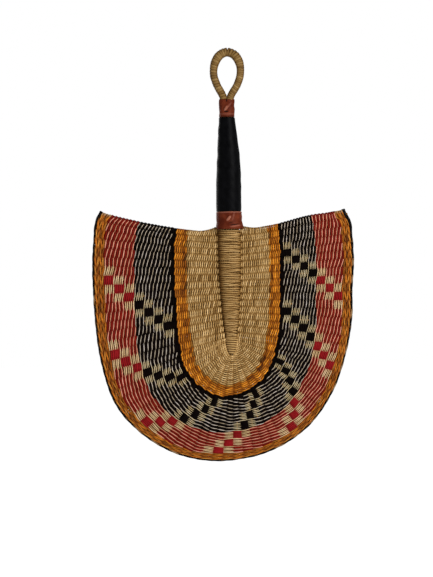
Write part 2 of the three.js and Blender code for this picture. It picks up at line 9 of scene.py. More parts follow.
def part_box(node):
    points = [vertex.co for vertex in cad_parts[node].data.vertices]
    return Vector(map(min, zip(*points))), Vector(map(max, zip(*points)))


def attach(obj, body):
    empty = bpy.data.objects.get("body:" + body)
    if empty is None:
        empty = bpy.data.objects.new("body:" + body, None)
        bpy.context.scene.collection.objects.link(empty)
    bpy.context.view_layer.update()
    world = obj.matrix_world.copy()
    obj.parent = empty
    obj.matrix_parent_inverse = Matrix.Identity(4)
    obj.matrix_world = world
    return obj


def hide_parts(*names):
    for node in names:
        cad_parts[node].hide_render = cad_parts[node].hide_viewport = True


# A woven straw hand fan, hanging by its loop, with its front facing -Y. The shapes are worked
# out in millimetres, in the place where the solids are, and every mesh is put down in metres.

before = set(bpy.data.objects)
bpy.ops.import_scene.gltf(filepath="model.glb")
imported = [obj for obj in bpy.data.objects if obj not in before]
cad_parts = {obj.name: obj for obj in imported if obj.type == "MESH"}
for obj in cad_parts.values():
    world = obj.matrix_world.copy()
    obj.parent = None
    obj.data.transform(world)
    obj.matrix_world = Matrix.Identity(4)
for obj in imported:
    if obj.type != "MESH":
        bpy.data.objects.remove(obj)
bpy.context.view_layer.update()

MM = 0.001
TURN = 2 * math.pi
FRONT = (0, -1, 0)
chance = np.random.default_rng(11)


def mix(a, b, share):
    return a + (b - a) * share


def smooth(x, low, high):
    share = np.clip((x - low) / (high - low), 0, 1)
    return share * share * (3 - 2 * share)


def fade(x, reach):
    """1 where x is nought, and 0 from the reach on."""
    return np.maximum(0, 1 - x / reach)


def points_at(*parts):
    """One array of points from its coordinates, any of which may be a single number."""
    return np.stack(np.broadcast_arrays(*parts), axis=-1)


def round_axis(half, depth, angle, z, shift=0):
    """Points on an oval round the handle's axis."""
    return points_at(half * np.cos(angle) + shift, depth * np.sin(angle), z)


def heights(node):
    """The lowest and highest point of a solid, in millimetres."""
    return [corner[2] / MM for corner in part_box(node)]


# The camera looks level at this point, across and up, and leans about one degree
VIEW_CENTRE = (-16.4, -277.9)
VIEW_WIDTH = 519.6
CAMERA_LEAN = math.radians(1.014)
CAMERA_LENS = 200
CAMERA_SENSOR = 36
CAMERA_DISTANCE = VIEW_WIDTH * CAMERA_LENS / CAMERA_SENSOR

# Handle: the play between two pieces, the leather's thickness, and the grip's form
FIT = 0.3
LEATHER = 1.4
GRIP_LOW, GRIP_HIGH = heights("grip_sleeve")
UPPER_LOW, UPPER_HIGH = heights("upper_collar")
LOWER_LOW, LOWER_HIGH = heights("lower_collar")
GRIP_TOP_WIDTH = 19
GRIP_WIDTH = 30.2
GRIP_SWELL_LENGTH = 90
# The grip bows a little to the right: places down from its top, and how far it is off the axis
GRIP_BOW_PLACES = (0, 26, 42, 66, 90, 112)
GRIP_BOW = (-0.4, 0.1, 0.75, 0.65, 0.2, 0)

# Spine, with its turns of straw
SPINE_TOP = LOWER_LOW - FIT
SPINE_LENGTH = 152
SPINE_TIP = SPINE_TOP - SPINE_LENGTH
SPINE_TOP_WIDTH = 27
SPINE_TIP_WIDTH = 9
SPINE_TAPER = 1.45
SPINE_ROUNDNESS = 0.75
WRAP_THICKNESS = 1.6
WRAP_PITCH = 7.7
WRAPS_PER_STAKE = 3
WRAP_SKIN = WRAP_THICKNESS + FIT
# The solid spine has eight flat sides, which lie this much nearer than its corners
FLAT_SHARE = math.cos(math.pi / 8)

# Stakes: those that cross the spine, those at the left of its tip, and those that fork in two.
# A fork's prongs stand this far off its middle, in stakes, where the next three bands begin.
CROSS_COUNT = 17
SIDE_COUNT = 4
FORK_COUNT = 14
STAKE_COUNT = 2 * CROSS_COUNT + SIDE_COUNT + 2 * FORK_COUNT
FORKED_START = CROSS_COUNT + SIDE_COUNT
FORKED_END = FORKED_START + 2 * FORK_COUNT
PRONG_SPREADS = (0.1, 0.25, 0.5)
WRAPS_END = SPINE_TOP - CROSS_COUNT * WRAP_PITCH

# Rim: spacing of the stakes at the left, at the right and added at the foot, and its outline
# from the left top corner, as (across from the handle's axis, up from the top of the spine)
RIM_PITCH_LEFT = 11.5
RIM_PITCH_RIGHT = 9.8
RIM_PITCH_FOOT_EXTRA = 2.8
RIM_POINTS = (
    (-154.2, 24.2), (-159.6, 14), (-162.7, -2), (-165.2, -42), (-163.6, -100), (-156.6, -158),
    (-139.6, -209), (-106, -246.4), (-60, -271.2), (-12, -278), (42.6, -267.8), (89.6, -239.5),
    (121.7, -195.4), (139.5, -143.6), (145.8, -106), (146.2, -78), (148.8, -42), (147.6, -12),
    (146.2, 6), (142, 21),
)
# The top edge sags: how deep at the left and right, and at what share of the way to the rim
TOP_SAG = (6.4, 1.8)
LOWEST_SAG = (0.4, 0.22)
SAG_SHARPNESS = 1.2
SAG_STAKES = 5
# The weave climbs beside the lower collar, over the first share of the way to the rim
SHOULDER_RISE = 5.5
SHOULDER_REACH = 0.16
SHOULDER_STEEPNESS = 1.5
SHOULDER_STAKES = 2.5
# The right top edge lifts a little before its corner
LIFT_RIGHT = 2.6
LIFT_MIDDLE = 0.64
LIFT_HALF_SPAN = 0.34

# Bands: rows, and the height of a row at the sides and at the foot
BANDS = (
    ("natural_field", 15, 2.6, 2.25),
    ("inner_orange_band", 6, 2.47, 2.25),
    ("black_check_band", 22, 2.24, 1.96),
    ("red_check_band", 15, 2.5, 1.68),
    ("outer_orange_band", 4, 3.1, 1.72),
    ("rim_binding", 1, 2.43, 1.97),
)
BAND_NAMES, BAND_ROWS, SIDE_HEIGHTS, FOOT_HEIGHTS = zip(*BANDS)
# Where the weave starts, in millimetres from the stakes' roots. Minus is towards the spine.
WEAVE_START = -0.5


def catmull_rom(points, steps=40):
    """Dense points of a centripetal curve through the points."""
    points = np.array(points, float)
    line = np.vstack([2 * points[0] - points[1], points, 2 * points[-1] - points[-2]])
    dense = []
    for a, b, c, d in zip(line, line[1:], line[2:], line[3:]):
        t1 = np.linalg.norm(b - a) ** 0.5
        t2 = t1 + np.linalg.norm(c - b) ** 0.5
        t3 = t2 + np.linalg.norm(d - c) ** 0.5
        t = np.linspace(t1, t2, steps, endpoint=False)[:, None]
        ab = mix(a, b, t / t1)
        bc = mix(b, c, (t - t1) / (t2 - t1))
        cd = mix(c, d, (t - t2) / (t3 - t2))
        abc = mix(ab, bc, t / t2)
        bcd = mix(bc, cd, (t - t1) / (t3 - t1))
        dense.append(mix(abc, bcd, (t - t1) / (t2 - t1)))
    return np.vstack([*dense, points[-1:]])


def along(line, share):
    """Points at shares of a line's length."""
    steps = np.linalg.norm(np.diff(line, axis=0), axis=1)
    reach = np.concatenate([[0], np.cumsum(steps)]) / steps.sum()
    return points_at(*(np.interp(share, reach, column) for column in line.T))


def grip_half(z):
    swell = np.sin(math.pi / 2 * np.clip((GRIP_HIGH - z) / GRIP_SWELL_LENGTH, 0, 1))
    return mix(GRIP_TOP_WIDTH, GRIP_WIDTH, swell) / 2


def grip_bow(z):
    return np.interp(GRIP_HIGH - z, GRIP_BOW_PLACES, GRIP_BOW)


def down_spine(z):
    return np.clip((SPINE_TOP - z) / SPINE_LENGTH, 0, 1)


def spine_half(z):
    """Outer half width of the wound spine."""
    taper = np.cos(math.pi / 2 * down_spine(z) ** SPINE_TAPER)
    return mix(SPINE_TIP_WIDTH, SPINE_TOP_WIDTH, taper) / 2


def spine_depth(z):
    """Outer half depth of the wound spine."""
    core = spine_half(z) / FLAT_SHARE - WRAP_SKIN
    return (core * SPINE_ROUNDNESS + WRAP_SKIN) * FLAT_SHARE


def around_rim(s):
    """How far round the blade a stake stands, from 0 at the left to 1 at the right."""
    return np.clip((s + 0.5) / STAKE_COUNT, 0, 1)


def foot_share(s):
    return np.sin(math.pi * around_rim(s)) ** 2


def rim_reach(around):
    swell = around / 2 - np.sin(TURN * around) / (2 * TURN)
    slope = (RIM_PITCH_RIGHT - RIM_PITCH_LEFT) * around ** 2 / 2
    return RIM_PITCH_LEFT * around + slope + RIM_PITCH_FOOT_EXTRA * swell


RIM_LINE = catmull_rom(RIM_POINTS) + (0, SPINE_TOP)
TIP_ANGLES = np.linspace(math.pi, TURN, 200)
TIP_LINE = points_at(spine_half(WRAPS_END) * np.cos(TIP_ANGLES),
                     WRAPS_END + (WRAPS_END - SPINE_TIP + FIT) * np.sin(TIP_ANGLES))


def rim_at(s):
    return along(RIM_LINE, rim_reach(around_rim(s)) / rim_reach(1.0))


def spine_at(s):
    """Where a stake springs from the spine: along its sides, or round its tip."""
    from_left = s + 0.5
    from_right = STAKE_COUNT - 0.5 - s
    near = np.minimum(from_left, from_right)
    z = SPINE_TOP - near * WRAP_PITCH
    side = points_at(np.where(from_left < from_right, -1, 1) * (spine_half(z) + FIT), z)
    past = from_left - CROSS_COUNT
    roots = np.where(past < SIDE_COUNT, past, SIDE_COUNT + (past - SIDE_COUNT) / 2)
    tip = along(TIP_LINE, np.clip(roots / (SIDE_COUNT + FORK_COUNT), 0, 1))
    return np.where((near <= CROSS_COUNT)[..., None], side, tip)


def sag_at(s, v):
    """The top edge sags, more on the left, and the next few stakes less and less."""
    left = s < (STAKE_COUNT - 1) / 2
    depth = np.where(left, *TOP_SAG)
    lowest = np.where(left, *LOWEST_SAG)
    from_edge = np.minimum(s + 0.5, STAKE_COUNT - 0.5 - s)
    near_edge = fade(from_edge, SAG_STAKES) ** 2
    v = np.clip(v, 0, 1)

    def shape(share):
        return share ** lowest * (1 - share) ** (1 - lowest)

    shoulder = fade(from_edge, SHOULDER_STAKES) ** 2
    shoulder = shoulder * fade(v, SHOULDER_REACH) ** SHOULDER_STEEPNESS
    sag = depth * near_edge * (shape(v) / shape(lowest)) ** SAG_SHARPNESS
    span = np.clip((v - LIFT_MIDDLE) / LIFT_HALF_SPAN, -1, 1)
    lift = np.where(left, 0, LIFT_RIGHT) * near_edge * np.cos(math.pi / 2 * span) ** 2
    return sag - SHOULDER_RISE * shoulder - lift


def blade_at(s, v, y=0.0):
    """A point of the blade. s counts the stakes from the left top corner round the foot to the
    right top corner, and v is 0 at the spine and 1 at the rim."""
    s, v, y = np.broadcast_arrays(np.asarray(s, float), v, y)
    flat = mix(spine_at(s), rim_at(s), v[..., None])
    return points_at(flat[..., 0], y, flat[..., 1] - sag_at(s, v))


def stake_length(s):
    return np.linalg.norm(rim_at(s) - spine_at(s), axis=-1)


def band_edge(index, s):
    """Share of the way from the spine to the rim where a band begins."""
    side, foot = np.multiply(BAND_ROWS, (SIDE_HEIGHTS, FOOT_HEIGHTS))
    return mix(sum(side[:index]) / sum(side), sum(foot[:index]) / sum(foot), foot_share(s))


def band_span(index, s):
    inner = band_edge(index, s) if index else WEAVE_START / stake_length(s)
    return inner, band_edge(index + 1, s)


# Nodes and objects

def fill(tree, node, inputs):
    """Links each of these inputs of a node to a socket, or sets it to a value."""
    for name, value in inputs.items():
        if isinstance(value, bpy.types.NodeSocket):
            tree.links.new(value, node.inputs[name])
        else:
            node.inputs[name].default_value = value


def add_node(tree, kind, inputs=None, **settings):
    made = tree.nodes.new(kind)
    for name, value in settings.items():
        setattr(made, name, value)
    fill(tree, made, inputs or {})
    return made


def put(tree, kind, output, inputs=None, **settings):
    """Adds a node and gives back one of its outputs."""
    return add_node(tree, kind, inputs, **settings).outputs[output]


def math_node(tree, operation, *values):
    return put(tree, "ShaderNodeMath", 0, dict(enumerate(values)), operation=operation)


def vector_node(tree, operation, *values):
    return put(tree, "ShaderNodeVectorMath", 0, dict(enumerate(values)), operation=operation)


def blend(tree, factor, first, second):
    inputs = {"Factor": factor, "A": first, "B": second}
    return put(tree, "ShaderNodeMix", "Result", inputs, data_type="RGBA")


def new_tree(name, kind, inputs, outputs):
    """A node group with named inputs, which may have first values, and named outputs."""
    tree = bpy.data.node_groups.new(name, kind)
    for side, sockets in (("INPUT", inputs), ("OUTPUT", outputs)):
        for socket, form, *values in sockets:
            made = tree.interface.new_socket(socket, in_out=side, socket_type="NodeSocket" + form)
            for value in values:
                made.default_value = value
    return tree, add_node(tree, "NodeGroupInput").outputs


def add_object(name, data):
    thing = bpy.data.objects.new(name, data)
    bpy.context.scene.collection.objects.link(thing)
    return thing


def give_values(mesh, name, values, kind="FLOAT"):
    """Gives every point of a mesh its value."""
    attribute = mesh.attributes.new(name, kind, "POINT")
    field = "vector" if kind == "FLOAT_VECTOR" else "value"
    attribute.data.foreach_set(field, np.ravel(values))


def stands_for(thing, slot, *nodes):
    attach(thing, "root")
    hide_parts(*nodes)


# Straws along paths

def straw_tree():
    """Sweeps an oval section along each path. The paths carry which way their thickness lies,
    how full the straw is, and what the finish reads."""
    tree, given = new_tree(
        "Straws Along Paths", "GeometryNodeTree",
        [("Paths", "Geometry"), ("Width", "Float"), ("Thickness", "Float"), ("Sides", "Int"),
         ("Twist Length", "Float"), ("Finish", "Material")],
        [("Straws", "Geometry")])

    def change(kind, inputs, output="Geometry", **settings):
        return put(tree, "GeometryNode" + kind, output, inputs, **settings)

    def read(name, kind="FLOAT"):
        return change("InputNamedAttribute", {"Name": name}, "Attribute", data_type=kind)

    def store(geometry, name, value, kind="FLOAT"):
        inputs = {"Geometry": geometry, "Name": name, "Value": value}
        return change("StoreNamedAttribute", inputs, data_type=kind, domain="POINT")

    line = change("MeshToCurve", {"Mesh": given["Paths"]}, "Curve")
    line = change("SetCurveNormal", {"Curve": line, "Normal": read("out", "FLOAT_VECTOR")},
                  "Curve", mode="FREE")
    line = store(line, "along", change("SplineParameter", None, "Length"))

    # The section: a circle that starts at its side, marked where its edges are, and made oval
    section = change("CurvePrimitiveCircle", {"Radius": 0.5, "Resolution": given["Sides"]},
                     "Curve", mode="RADIUS")
    section = change("Transform", {"Geometry": section, "Rotation": (0, 0, TURN / 4)})
    place = change("InputPosition", None, "Position")
    sideways = put(tree, "ShaderNodeSeparateXYZ", "Y", {"Vector": place})
    section = store(section, "edge", math_node(tree, "ABSOLUTE", sideways))
    size = put(tree, "ShaderNodeCombineXYZ", "Vector",
               {"X": given["Thickness"], "Y": given["Width"]})
    section = change("Transform", {"Geometry": section, "Scale": size})
    section = store(section, "section", place, "FLOAT_VECTOR")
    straws = change("CurveToMesh", {"Curve": line, "Profile Curve": section,
                                    "Scale": read("fullness"), "Fill Caps": True}, "Mesh")

    # Place within the straw, twisted along it, for the fibres in its finish
    far = read("along")
    angle = math_node(tree, "MULTIPLY", math_node(tree, "DIVIDE", far, given["Twist Length"]), TURN)
    twisted = put(tree, "ShaderNodeVectorRotate", "Vector",
                  {"Vector": read("section", "FLOAT_VECTOR"), "Angle": angle},
                  rotation_type="Z_AXIS")
    onward = put(tree, "ShaderNodeCombineXYZ", "Vector", {"Z": far})
    straws = store(straws, "straw", vector_node(tree, "ADD", twisted, onward), "FLOAT_VECTOR")
    straws = change("SetShadeSmooth", {"Geometry": straws})
    straws = change("RealizeInstances", {"Geometry": straws})
    straws = change("SetMaterial", {"Geometry": straws, "Material": given["Finish"]})
    add_node(tree, "NodeGroupOutput", {"Straws": straws})
    return tree


STRAW_TREE = straw_tree()
# What a path carries beside its points, and how much where that isn't given
PATH_VALUES = {"fullness": 1, "dye": 0, "block": 0, "tone": 0, "shade": 0}


def unit(vectors):
    return vectors / np.linalg.norm(vectors, axis=1, keepdims=True)


def make_path(points, out, **values):
    """A straw's line in millimetres, with the way its thickness lies at each point."""
    points = np.asarray(points, float)
    ahead = unit(np.gradient(points, axis=0))
    out = np.broadcast_to(np.asarray(out, float), points.shape)
    path = {"points": points,
            "out": unit(out - ahead * (out * ahead).sum(axis=1, keepdims=True))}
    for name, value in {**PATH_VALUES, **values}.items():
        path[name] = np.broadcast_to(np.asarray(value, float), len(points))
    return path


def sweep(name, paths, width, thickness, finish, sides=6, twist_length=9.0):
    """One object of straws swept along the paths. Sizes in millimetres."""
    def joined(value):
        return np.concatenate([path[value] for path in paths])

    points = joined("points") * MM
    ends = set(np.cumsum([len(path["points"]) for path in paths]))
    edges = [(k, k + 1) for k in range(len(points) - 1) if k + 1 not in ends]
    mesh = bpy.data.meshes.new(name)
    mesh.from_pydata(points.tolist(), edges, [])
    give_values(mesh, "out", joined("out"), "FLOAT_VECTOR")
    for value in PATH_VALUES:
        give_values(mesh, value, joined(value))
    inputs = {"Width": width * MM, "Thickness": thickness * MM, "Sides": sides,
              "Twist Length": twist_length * MM, "Finish": finish}
    return grow(add_object(name, mesh), STRAW_TREE, inputs)


def grow(thing, tree, inputs):
    """Runs a tree on an object once and keeps the plain mesh that comes out."""
    growth = thing.modifiers.new("growth", "NODES")
    growth.node_group = tree
    for item in tree.interface.items_tree:
        if item.in_out == "INPUT" and item.name in inputs:
            growth[item.identifier] = inputs[item.name]
    bpy.context.view_layer.update()
    ready = thing.evaluated_get(bpy.context.evaluated_depsgraph_get())
    grown = bpy.data.meshes.new_from_object(ready)
    thing.modifiers.remove(growth)
    thing.data = grown
    return thing


# Finishes

def colour(*levels):
    """A colour given as it shows on a screen, 0 to 255, as the linear value that shaders use."""
    shown = [level / 255 for level in levels]
    return (*(x / 12.92 if x <= 0.04045 else ((x + 0.055) / 1.055) ** 2.4 for x in shown), 1)


def attribute(tree, name, output="Fac"):
    return put(tree, "ShaderNodeAttribute", output, attribute_name=name)


def noise(tree, vector, scale, detail, distortion=0.0):
    inputs = {"Vector": vector, "Scale": scale, "Detail": detail, "Distortion": distortion}
    return put(tree, "ShaderNodeTexNoise", "Fac", inputs)


def end_group(tree, tint, height, distance, strength, rough, unlike):
    """A finish's outputs: its colour, its relief, and a roughness that changes with a noise."""
    relief = put(tree, "ShaderNodeBump", "Normal",
                 {"Distance": distance, "Strength": strength, "Height": height})
    roughness = math_node(tree, "ADD", math_node(tree, "MULTIPLY", *unlike), rough)
    add_node(tree, "NodeGroupOutput", {"Colour": tint, "Roughness": roughness, "Normal": relief})


FINISH_OUTPUTS = [("Colour", "Color"), ("Roughness", "Float"), ("Normal", "Vector")]
# Fibres to the metre across and along the straw, and how far the pattern moves with the tone
FIBRES = (2200, 2200, 110)
FIBRE_MOVE = (37, 91, 53)
# Weathered patches to the metre
PATCHES = 90
# Where across the straw its painted shade at the edge begins and is full
SHADED_EDGE = {"From Min": 0.2, "From Max": 0.48}
# Darkening is warm, the painted shade and the straw's own tone alike: it takes least from the
# red and most from the blue
WARM_DARKENING = (0.85, 1.05, 1.5)


def straw_group():
    """Fibres along the straw, straws of unlike tone, weathered patches, and painted shade that
    darkens the straw's edges and what lies deep in the weave."""
    tree, given = new_tree(
        "Straw Fibres", "ShaderNodeTree",
        [("Colour", "Color", (0.5, 0.4, 0.2, 1)), ("Tone Spread", "Float", 0.5),
         ("Fibre Contrast", "Float", 0.7), ("Patch Contrast", "Float", 0.5),
         ("Edge Dust", "Float", 0.85), ("Deep Dust", "Float", 0.8), ("Relief", "Float", 0.4)],
        FINISH_OUTPUTS)

    def product(a, b):
        return math_node(tree, "MULTIPLY", a, b)

    def around_one(value, spread):
        return math_node(tree, "ADD", product(math_node(tree, "SUBTRACT", value, 0.5), spread), 1)

    def without(painted_shade, strength):
        return math_node(tree, "SUBTRACT", 1.0, product(painted_shade, strength))

    own_tone = attribute(tree, "tone")
    stretched = vector_node(tree, "MULTIPLY", attribute(tree, "straw", "Vector"), FIBRES)
    shift = put(tree, "ShaderNodeVectorMath", 0, {0: FIBRE_MOVE, "Scale": own_tone},
                operation="SCALE")
    fibre = noise(tree, vector_node(tree, "ADD", stretched, shift), scale=1, detail=2)
    patch = noise(tree, put(tree, "ShaderNodeTexCoord", "Object"), PATCHES, detail=3)
    tone = around_one(own_tone, given["Tone Spread"])
    fibres = around_one(fibre, given["Fibre Contrast"])
    patches = around_one(patch, given["Patch Contrast"])
    # Painted shade: the straw darkens towards its edges, and where its shade attribute says it lies
    # deep in the weave
    near_edge = put(tree, "ShaderNodeMapRange", "Result",
                    {"Value": attribute(tree, "edge"), **SHADED_EDGE},
                    interpolation_type="SMOOTHSTEP")
    unshaded_edge = without(near_edge, given["Edge Dust"])
    unshaded_depth = without(attribute(tree, "shade"), given["Deep Dust"])
    shade = product(product(product(tone, fibres), patches), product(unshaded_edge, unshaded_depth))
    warm = put(tree, "ShaderNodeCombineXYZ", "Vector", {
        axis: math_node(tree, "POWER", shade, strength)
        for axis, strength in zip("XYZ", WARM_DARKENING)})
    tint = vector_node(tree, "MULTIPLY", given["Colour"], warm)
    end_group(tree, tint, fibre, distance=0.0003, strength=given["Relief"], rough=0.4,
              unlike=(fibre, 0.4))
    return tree


STRAW_FIBRES = straw_group()


def new_material(name, specular):
    material = bpy.data.materials.new(name)
    material.use_nodes = True
    shader = material.node_tree.nodes["Principled BSDF"]
    shader.inputs["Specular IOR Level"].default_value = specular
    return material, material.node_tree, shader


def wear_finish(tree, shader, finish, tint):
    fill(tree, shader, {"Base Color": tint, "Roughness": finish["Roughness"],
                        "Normal": finish["Normal"]})


def straw_finish(name, pale, dark=None, square_pale=None, square_dark=None, gloss=0.12, **values):
    """Twined straw. Strands with dye 1 take the dark colour, and in the checks' squares both
    strands take their own colours."""
    material, tree, shader = new_material(name, gloss)
    tint = pale
    if dark:
        block = attribute(tree, "block")
        tint = blend(tree, attribute(tree, "dye"), blend(tree, block, pale, square_pale or pale),
                     blend(tree, block, dark, square_dark or dark))
    inputs = {socket.replace("_", " ").title(): value for socket, value in values.items()}
    fibres = add_node(tree, "ShaderNodeGroup", {"Colour": tint, **inputs},
                      node_tree=STRAW_FIBRES).outputs
    wear_finish(tree, shader, fibres, fibres["Colour"])
    return material


BLACK = colour(8, 3, 2)
TAN = colour(196, 160, 118)

natural_finish = straw_finish("natural straw", colour(201, 163, 106), tone_spread=1.1,
                              fibre_contrast=1.0)
stake_finish = straw_finish("stake straw", colour(181, 143, 88), tone_spread=0.9,
                            fibre_contrast=1.0)
orange_finish = straw_finish("orange straw", colour(208, 152, 72), colour(199, 120, 27),
                             tone_spread=1.7, fibre_contrast=1.2, patch_contrast=1.1)
streaky_finish = straw_finish("streaky orange straw", colour(166, 90, 16), colour(172, 107, 34),
                              square_pale=TAN, square_dark=TAN, tone_spread=1.4,
                              edge_dust=0.75, fibre_contrast=1.0)
black_check_finish = straw_finish("black and natural straw", colour(202, 189, 174), BLACK,
                                  square_pale=colour(206, 189, 152), square_dark=BLACK,
                                  gloss=0.03, tone_spread=0.6)
red_check_finish = straw_finish("red and natural straw", colour(226, 148, 122),
                                colour(116, 16, 3), square_pale=colour(222, 188, 144),
                                square_dark=colour(144, 20, 24), gloss=0.08, tone_spread=0.5)
black_finish = straw_finish("black straw", BLACK, gloss=0.06, tone_spread=0.5)
rim_finish = straw_finish("black and tan straw", colour(170, 136, 98), BLACK, gloss=0.06,
                          tone_spread=0.5)
loop_finish = straw_finish("loop straw", colour(134, 104, 58), tone_spread=0.9, edge_dust=0.6)


# Weave

STEPS_PER_STAKE = 6
ROUNDING = 1e-6
# Between two stakes: where a strand changes sides, and how much it dips where it doesn't
SIDE_CHANGE = (0.18, 0.82)
FLOAT_DIP = 0.12
# How far from a crossing, in stakes, a strand begins to lean less and no longer leans
LEAN_FADE = (0.35, 0.8)
# Over this part of a stake's spacing at a row's ends the strands grow full and stop leaning
BRIM_REACH = 0.6
BRIM_FULLNESS = 1.05
END_TURN_REACH = 0.45
# In a square the wide strand of a row takes no more than this share of the row
BLOCK_SHARE = 1.1
# How much fuller the rows beside the spine are, both on the stakes and at the foot
BESIDE_SPINE_FULLER = 0.4
# How unlike the rows and their strands are
DRIFT_WANDER = 0.02
TONE_SPREAD, TONE_WANDER = 0.18, 0.22
# The waves of the rows: height, the rows that stay calm at spine and rim, and for each wave
# the stakes and rows that it takes, and where it starts
WAVE_HEIGHT = 0.55
CALM_ROWS = 4
ROW_WAVES = ((5.3, 31, 0.4), (3.1, -23, 2.1), (11.7, 17, 4.0), (2.2, 41, 5.2))
# The worn right top corner: from which stake and which share of the way to the rim it is
# drawn in, and how far
CORNER_STAKES = (63.6, 65.5)
CORNER_ROWS = (0.8, 0.93)
CORNER_SHIFT = np.array((-3.7, 0, 0.2))


def weave_stations(places):
    """Where a row's straws get points. u counts the stakes that the row passes, and s is each
    point's place round the blade."""
    count = len(places)
    u = np.arange(-0.5 * STEPS_PER_STAKE, (count - 0.5) * STEPS_PER_STAKE + 1) / STEPS_PER_STAKE
    s = np.interp(u, [-0.5, *range(count), count - 0.5], [-0.5, *places, STAKE_COUNT - 0.5])
    return u, s


def strand_weave(u, front, form):
    """How far in front a strand lies, how far outwards it leans, and how full it is."""
    stake = np.clip(np.floor(u), 0, len(front) - 2).astype(int)
    past = np.clip(u - stake, 0, 1)
    here, there = front[stake], front[stake + 1]
    same = here == there
    hump = np.sin(math.pi * past) ** 2
    belly = np.sin(TURN * past) ** 2
    depth = mix(here, there, smooth(past, *SIDE_CHANGE)) * (1 - FLOAT_DIP * same * hump)
    crossings = np.flatnonzero(front[:-1] != front[1:])
    lean = np.interp(u, crossings + 0.5, np.where(front[crossings] > 0, 0.5, -0.5))
    from_crossing = np.abs(u[:, None] - crossings - 0.5).min(axis=1)
    brim = fade(np.minimum(u - u[0], u[-1] - u), BRIM_REACH)
    lean = lean * (1 - brim) * (1 - smooth(from_crossing, *LEAN_FADE))
    full = mix(form["over"], form["across"], hump) + form["belly"] * belly
    full = np.where(same, mix(form["over"], 1.0, hump), full)
    return depth, lean, mix(full, BRIM_FULLNESS, brim)


def wander(u, count, size, step=2):
    """A smooth random drift along a row."""
    knots = np.arange(-1, count + step, step)
    return np.interp(u, knots, chance.normal(0, size, len(knots)))


def shared_waves(s, row):
    """Neighbouring rows wave together, so they part nowhere."""
    total = np.zeros(len(s))
    for stakes, rows, start in ROW_WAVES:
        total = total + np.sin(TURN * (s / stakes + row / rows) + start)
    calm = min(row / CALM_ROWS, (sum(BAND_ROWS) - 1 - row) / CALM_ROWS, 1)
    return WAVE_HEIGHT * calm * total / len(ROW_WAVES)


def round_corner(points, s, v):
    """The blade's right top corner is worn round."""
    near = smooth(s, *CORNER_STAKES) * smooth(v, *CORNER_ROWS)
    return points + near[:, None] * CORNER_SHIFT


def end_turn(u, depth, ends):
    """Brings a strand round the outermost stake at each end of its row."""
    edge = np.minimum(u - ends[0], ends[1] - u)
    return depth * np.sin(math.pi / 2 * np.clip(edge / END_TURN_REACH, 0, 1))


def for_row(values, row):
    """A row's own value. The last one holds for all further rows."""
    return values[min(row, len(values) - 1)]


def twined_row(index, row, places, pattern, form):
    """The two strands of a row. They pass in front of and behind each stake in turn and cross
    between the stakes, and both turn round the outermost stakes."""
    front, block = pattern
    u, s = weave_stations(places)
    count = len(places)
    near = np.clip(np.round(u), 0, count - 1).astype(int)
    from_end = np.minimum(u - u[0], u[-1] - u)
    crossing = np.sin(math.pi * u) ** 2
    in_block = np.interp(u, np.arange(count), block)
    square = 1 - smooth(from_end, *form["selvedge"]) if "selvedge" in form else block[near]
    inner, outer = band_span(index, s)
    height = (outer - inner) / BAND_ROWS[index]
    drift = shared_waves(s, sum(BAND_ROWS[:index]) + row) + wander(u, count, DRIFT_WANDER)
    lean_share = form["lean"][row % len(form["lean"])]
    beside_spine = for_row(form["beside"], row)
    paths = []
    for strand, (dye, share, between, leaning) in enumerate(for_row(form["strands"], row)):
        depth, lean, full = strand_weave(u, front if strand == 0 else -front, form)
        ends = (u[0] + form["tuck"][strand], u[-1] - form["tuck"][strand])
        depth = end_turn(u, depth, ends)
        keep = (u >= ends[0] - ROUNDING) & (u <= ends[1] + ROUNDING)
        v = inner + height * (row + 0.5 + lean * (lean_share + leaning) + drift)
        full = full * mix(share, min(share, BLOCK_SHARE), in_block)
        full = full * height * stake_length(s) * form["full"]
        full = full * (1 + between * crossing * (1 - in_block))
        full = full * (1 + wander(u, count, form["uneven"]))
        full = full * (1 + BESIDE_SPINE_FULLER * beside_spine * (1 - crossing))
        full = full * (1 + BESIDE_SPINE_FULLER * beside_spine * foot_share(s))
        tone = 0.5 + TONE_SPREAD * chance.normal() + wander(u, count, TONE_WANDER, step=1)
        # Painted shade: strands darken where they cross behind each other, and more at the
        # crossings beside the spine
        shade = np.clip((1 - depth ** 2) * form["painted_shade"] + beside_spine * crossing, 0, 1)
        if "bare" in form:
            extra = np.interp(s, RIM_PLACES, RIM_FULLNESS)
            full = full * extra
            v = v - height * np.where(extra > 1, RIM_INWARD, -RIM_SNUG) * (extra - 1)
            bare = chance.uniform(0, 1, count)[near] < RIM_BARE_CHANCE
            bare = bare * smooth(s, *RIM_BARE_FROM) * (1 - smooth(s, *RIM_BARE_TO))
            dye = dye - strand * form["bare"] * bare
        points = round_corner(blade_at(s, v, -depth * form["rise"]), s, v)
        lift, reach, next_row = form["end_lift"]
        points[:, 2] += lift * next_row ** row * (1 - smooth(from_end, 0, reach))
        dye = np.broadcast_to(dye, len(u))
        paths.append(make_path(points[keep], FRONT, fullness=full[keep], dye=dye[keep],
                               block=square[keep], tone=np.clip(tone, 0, 1)[keep],
                               shade=shade[keep]))
    return paths


# The stakes that a row passes: in the two inner bands the forked ones haven't parted yet
INNER_PLACES = np.r_[:FORKED_START, FORKED_START + 0.5:FORKED_END:2, FORKED_END:STAKE_COUNT]
OUTER_PLACES = np.arange(STAKE_COUNT, dtype=float)
INNER_BANDS = 2

# The checks: a solid square every eighth stake, stepping one stake on with each block of rows.
# Two black rows lie inside the black checks, and the red checks go on where those end.
BLOCK_ROWS = 5
SQUARE_EVERY = 8
FIRST_SQUARE = 7
LAST_SQUARE = 55
BLACK_LINE_ROWS = 2
BLACK_CHECK_ROWS = BAND_ROWS[BAND_NAMES.index("black_check_band")] - BLACK_LINE_ROWS
RED_CHECK_ROWS = BAND_ROWS[BAND_NAMES.index("red_check_band")]
LAST_BLOCK = (BLACK_CHECK_ROWS + RED_CHECK_ROWS) // BLOCK_ROWS - 1


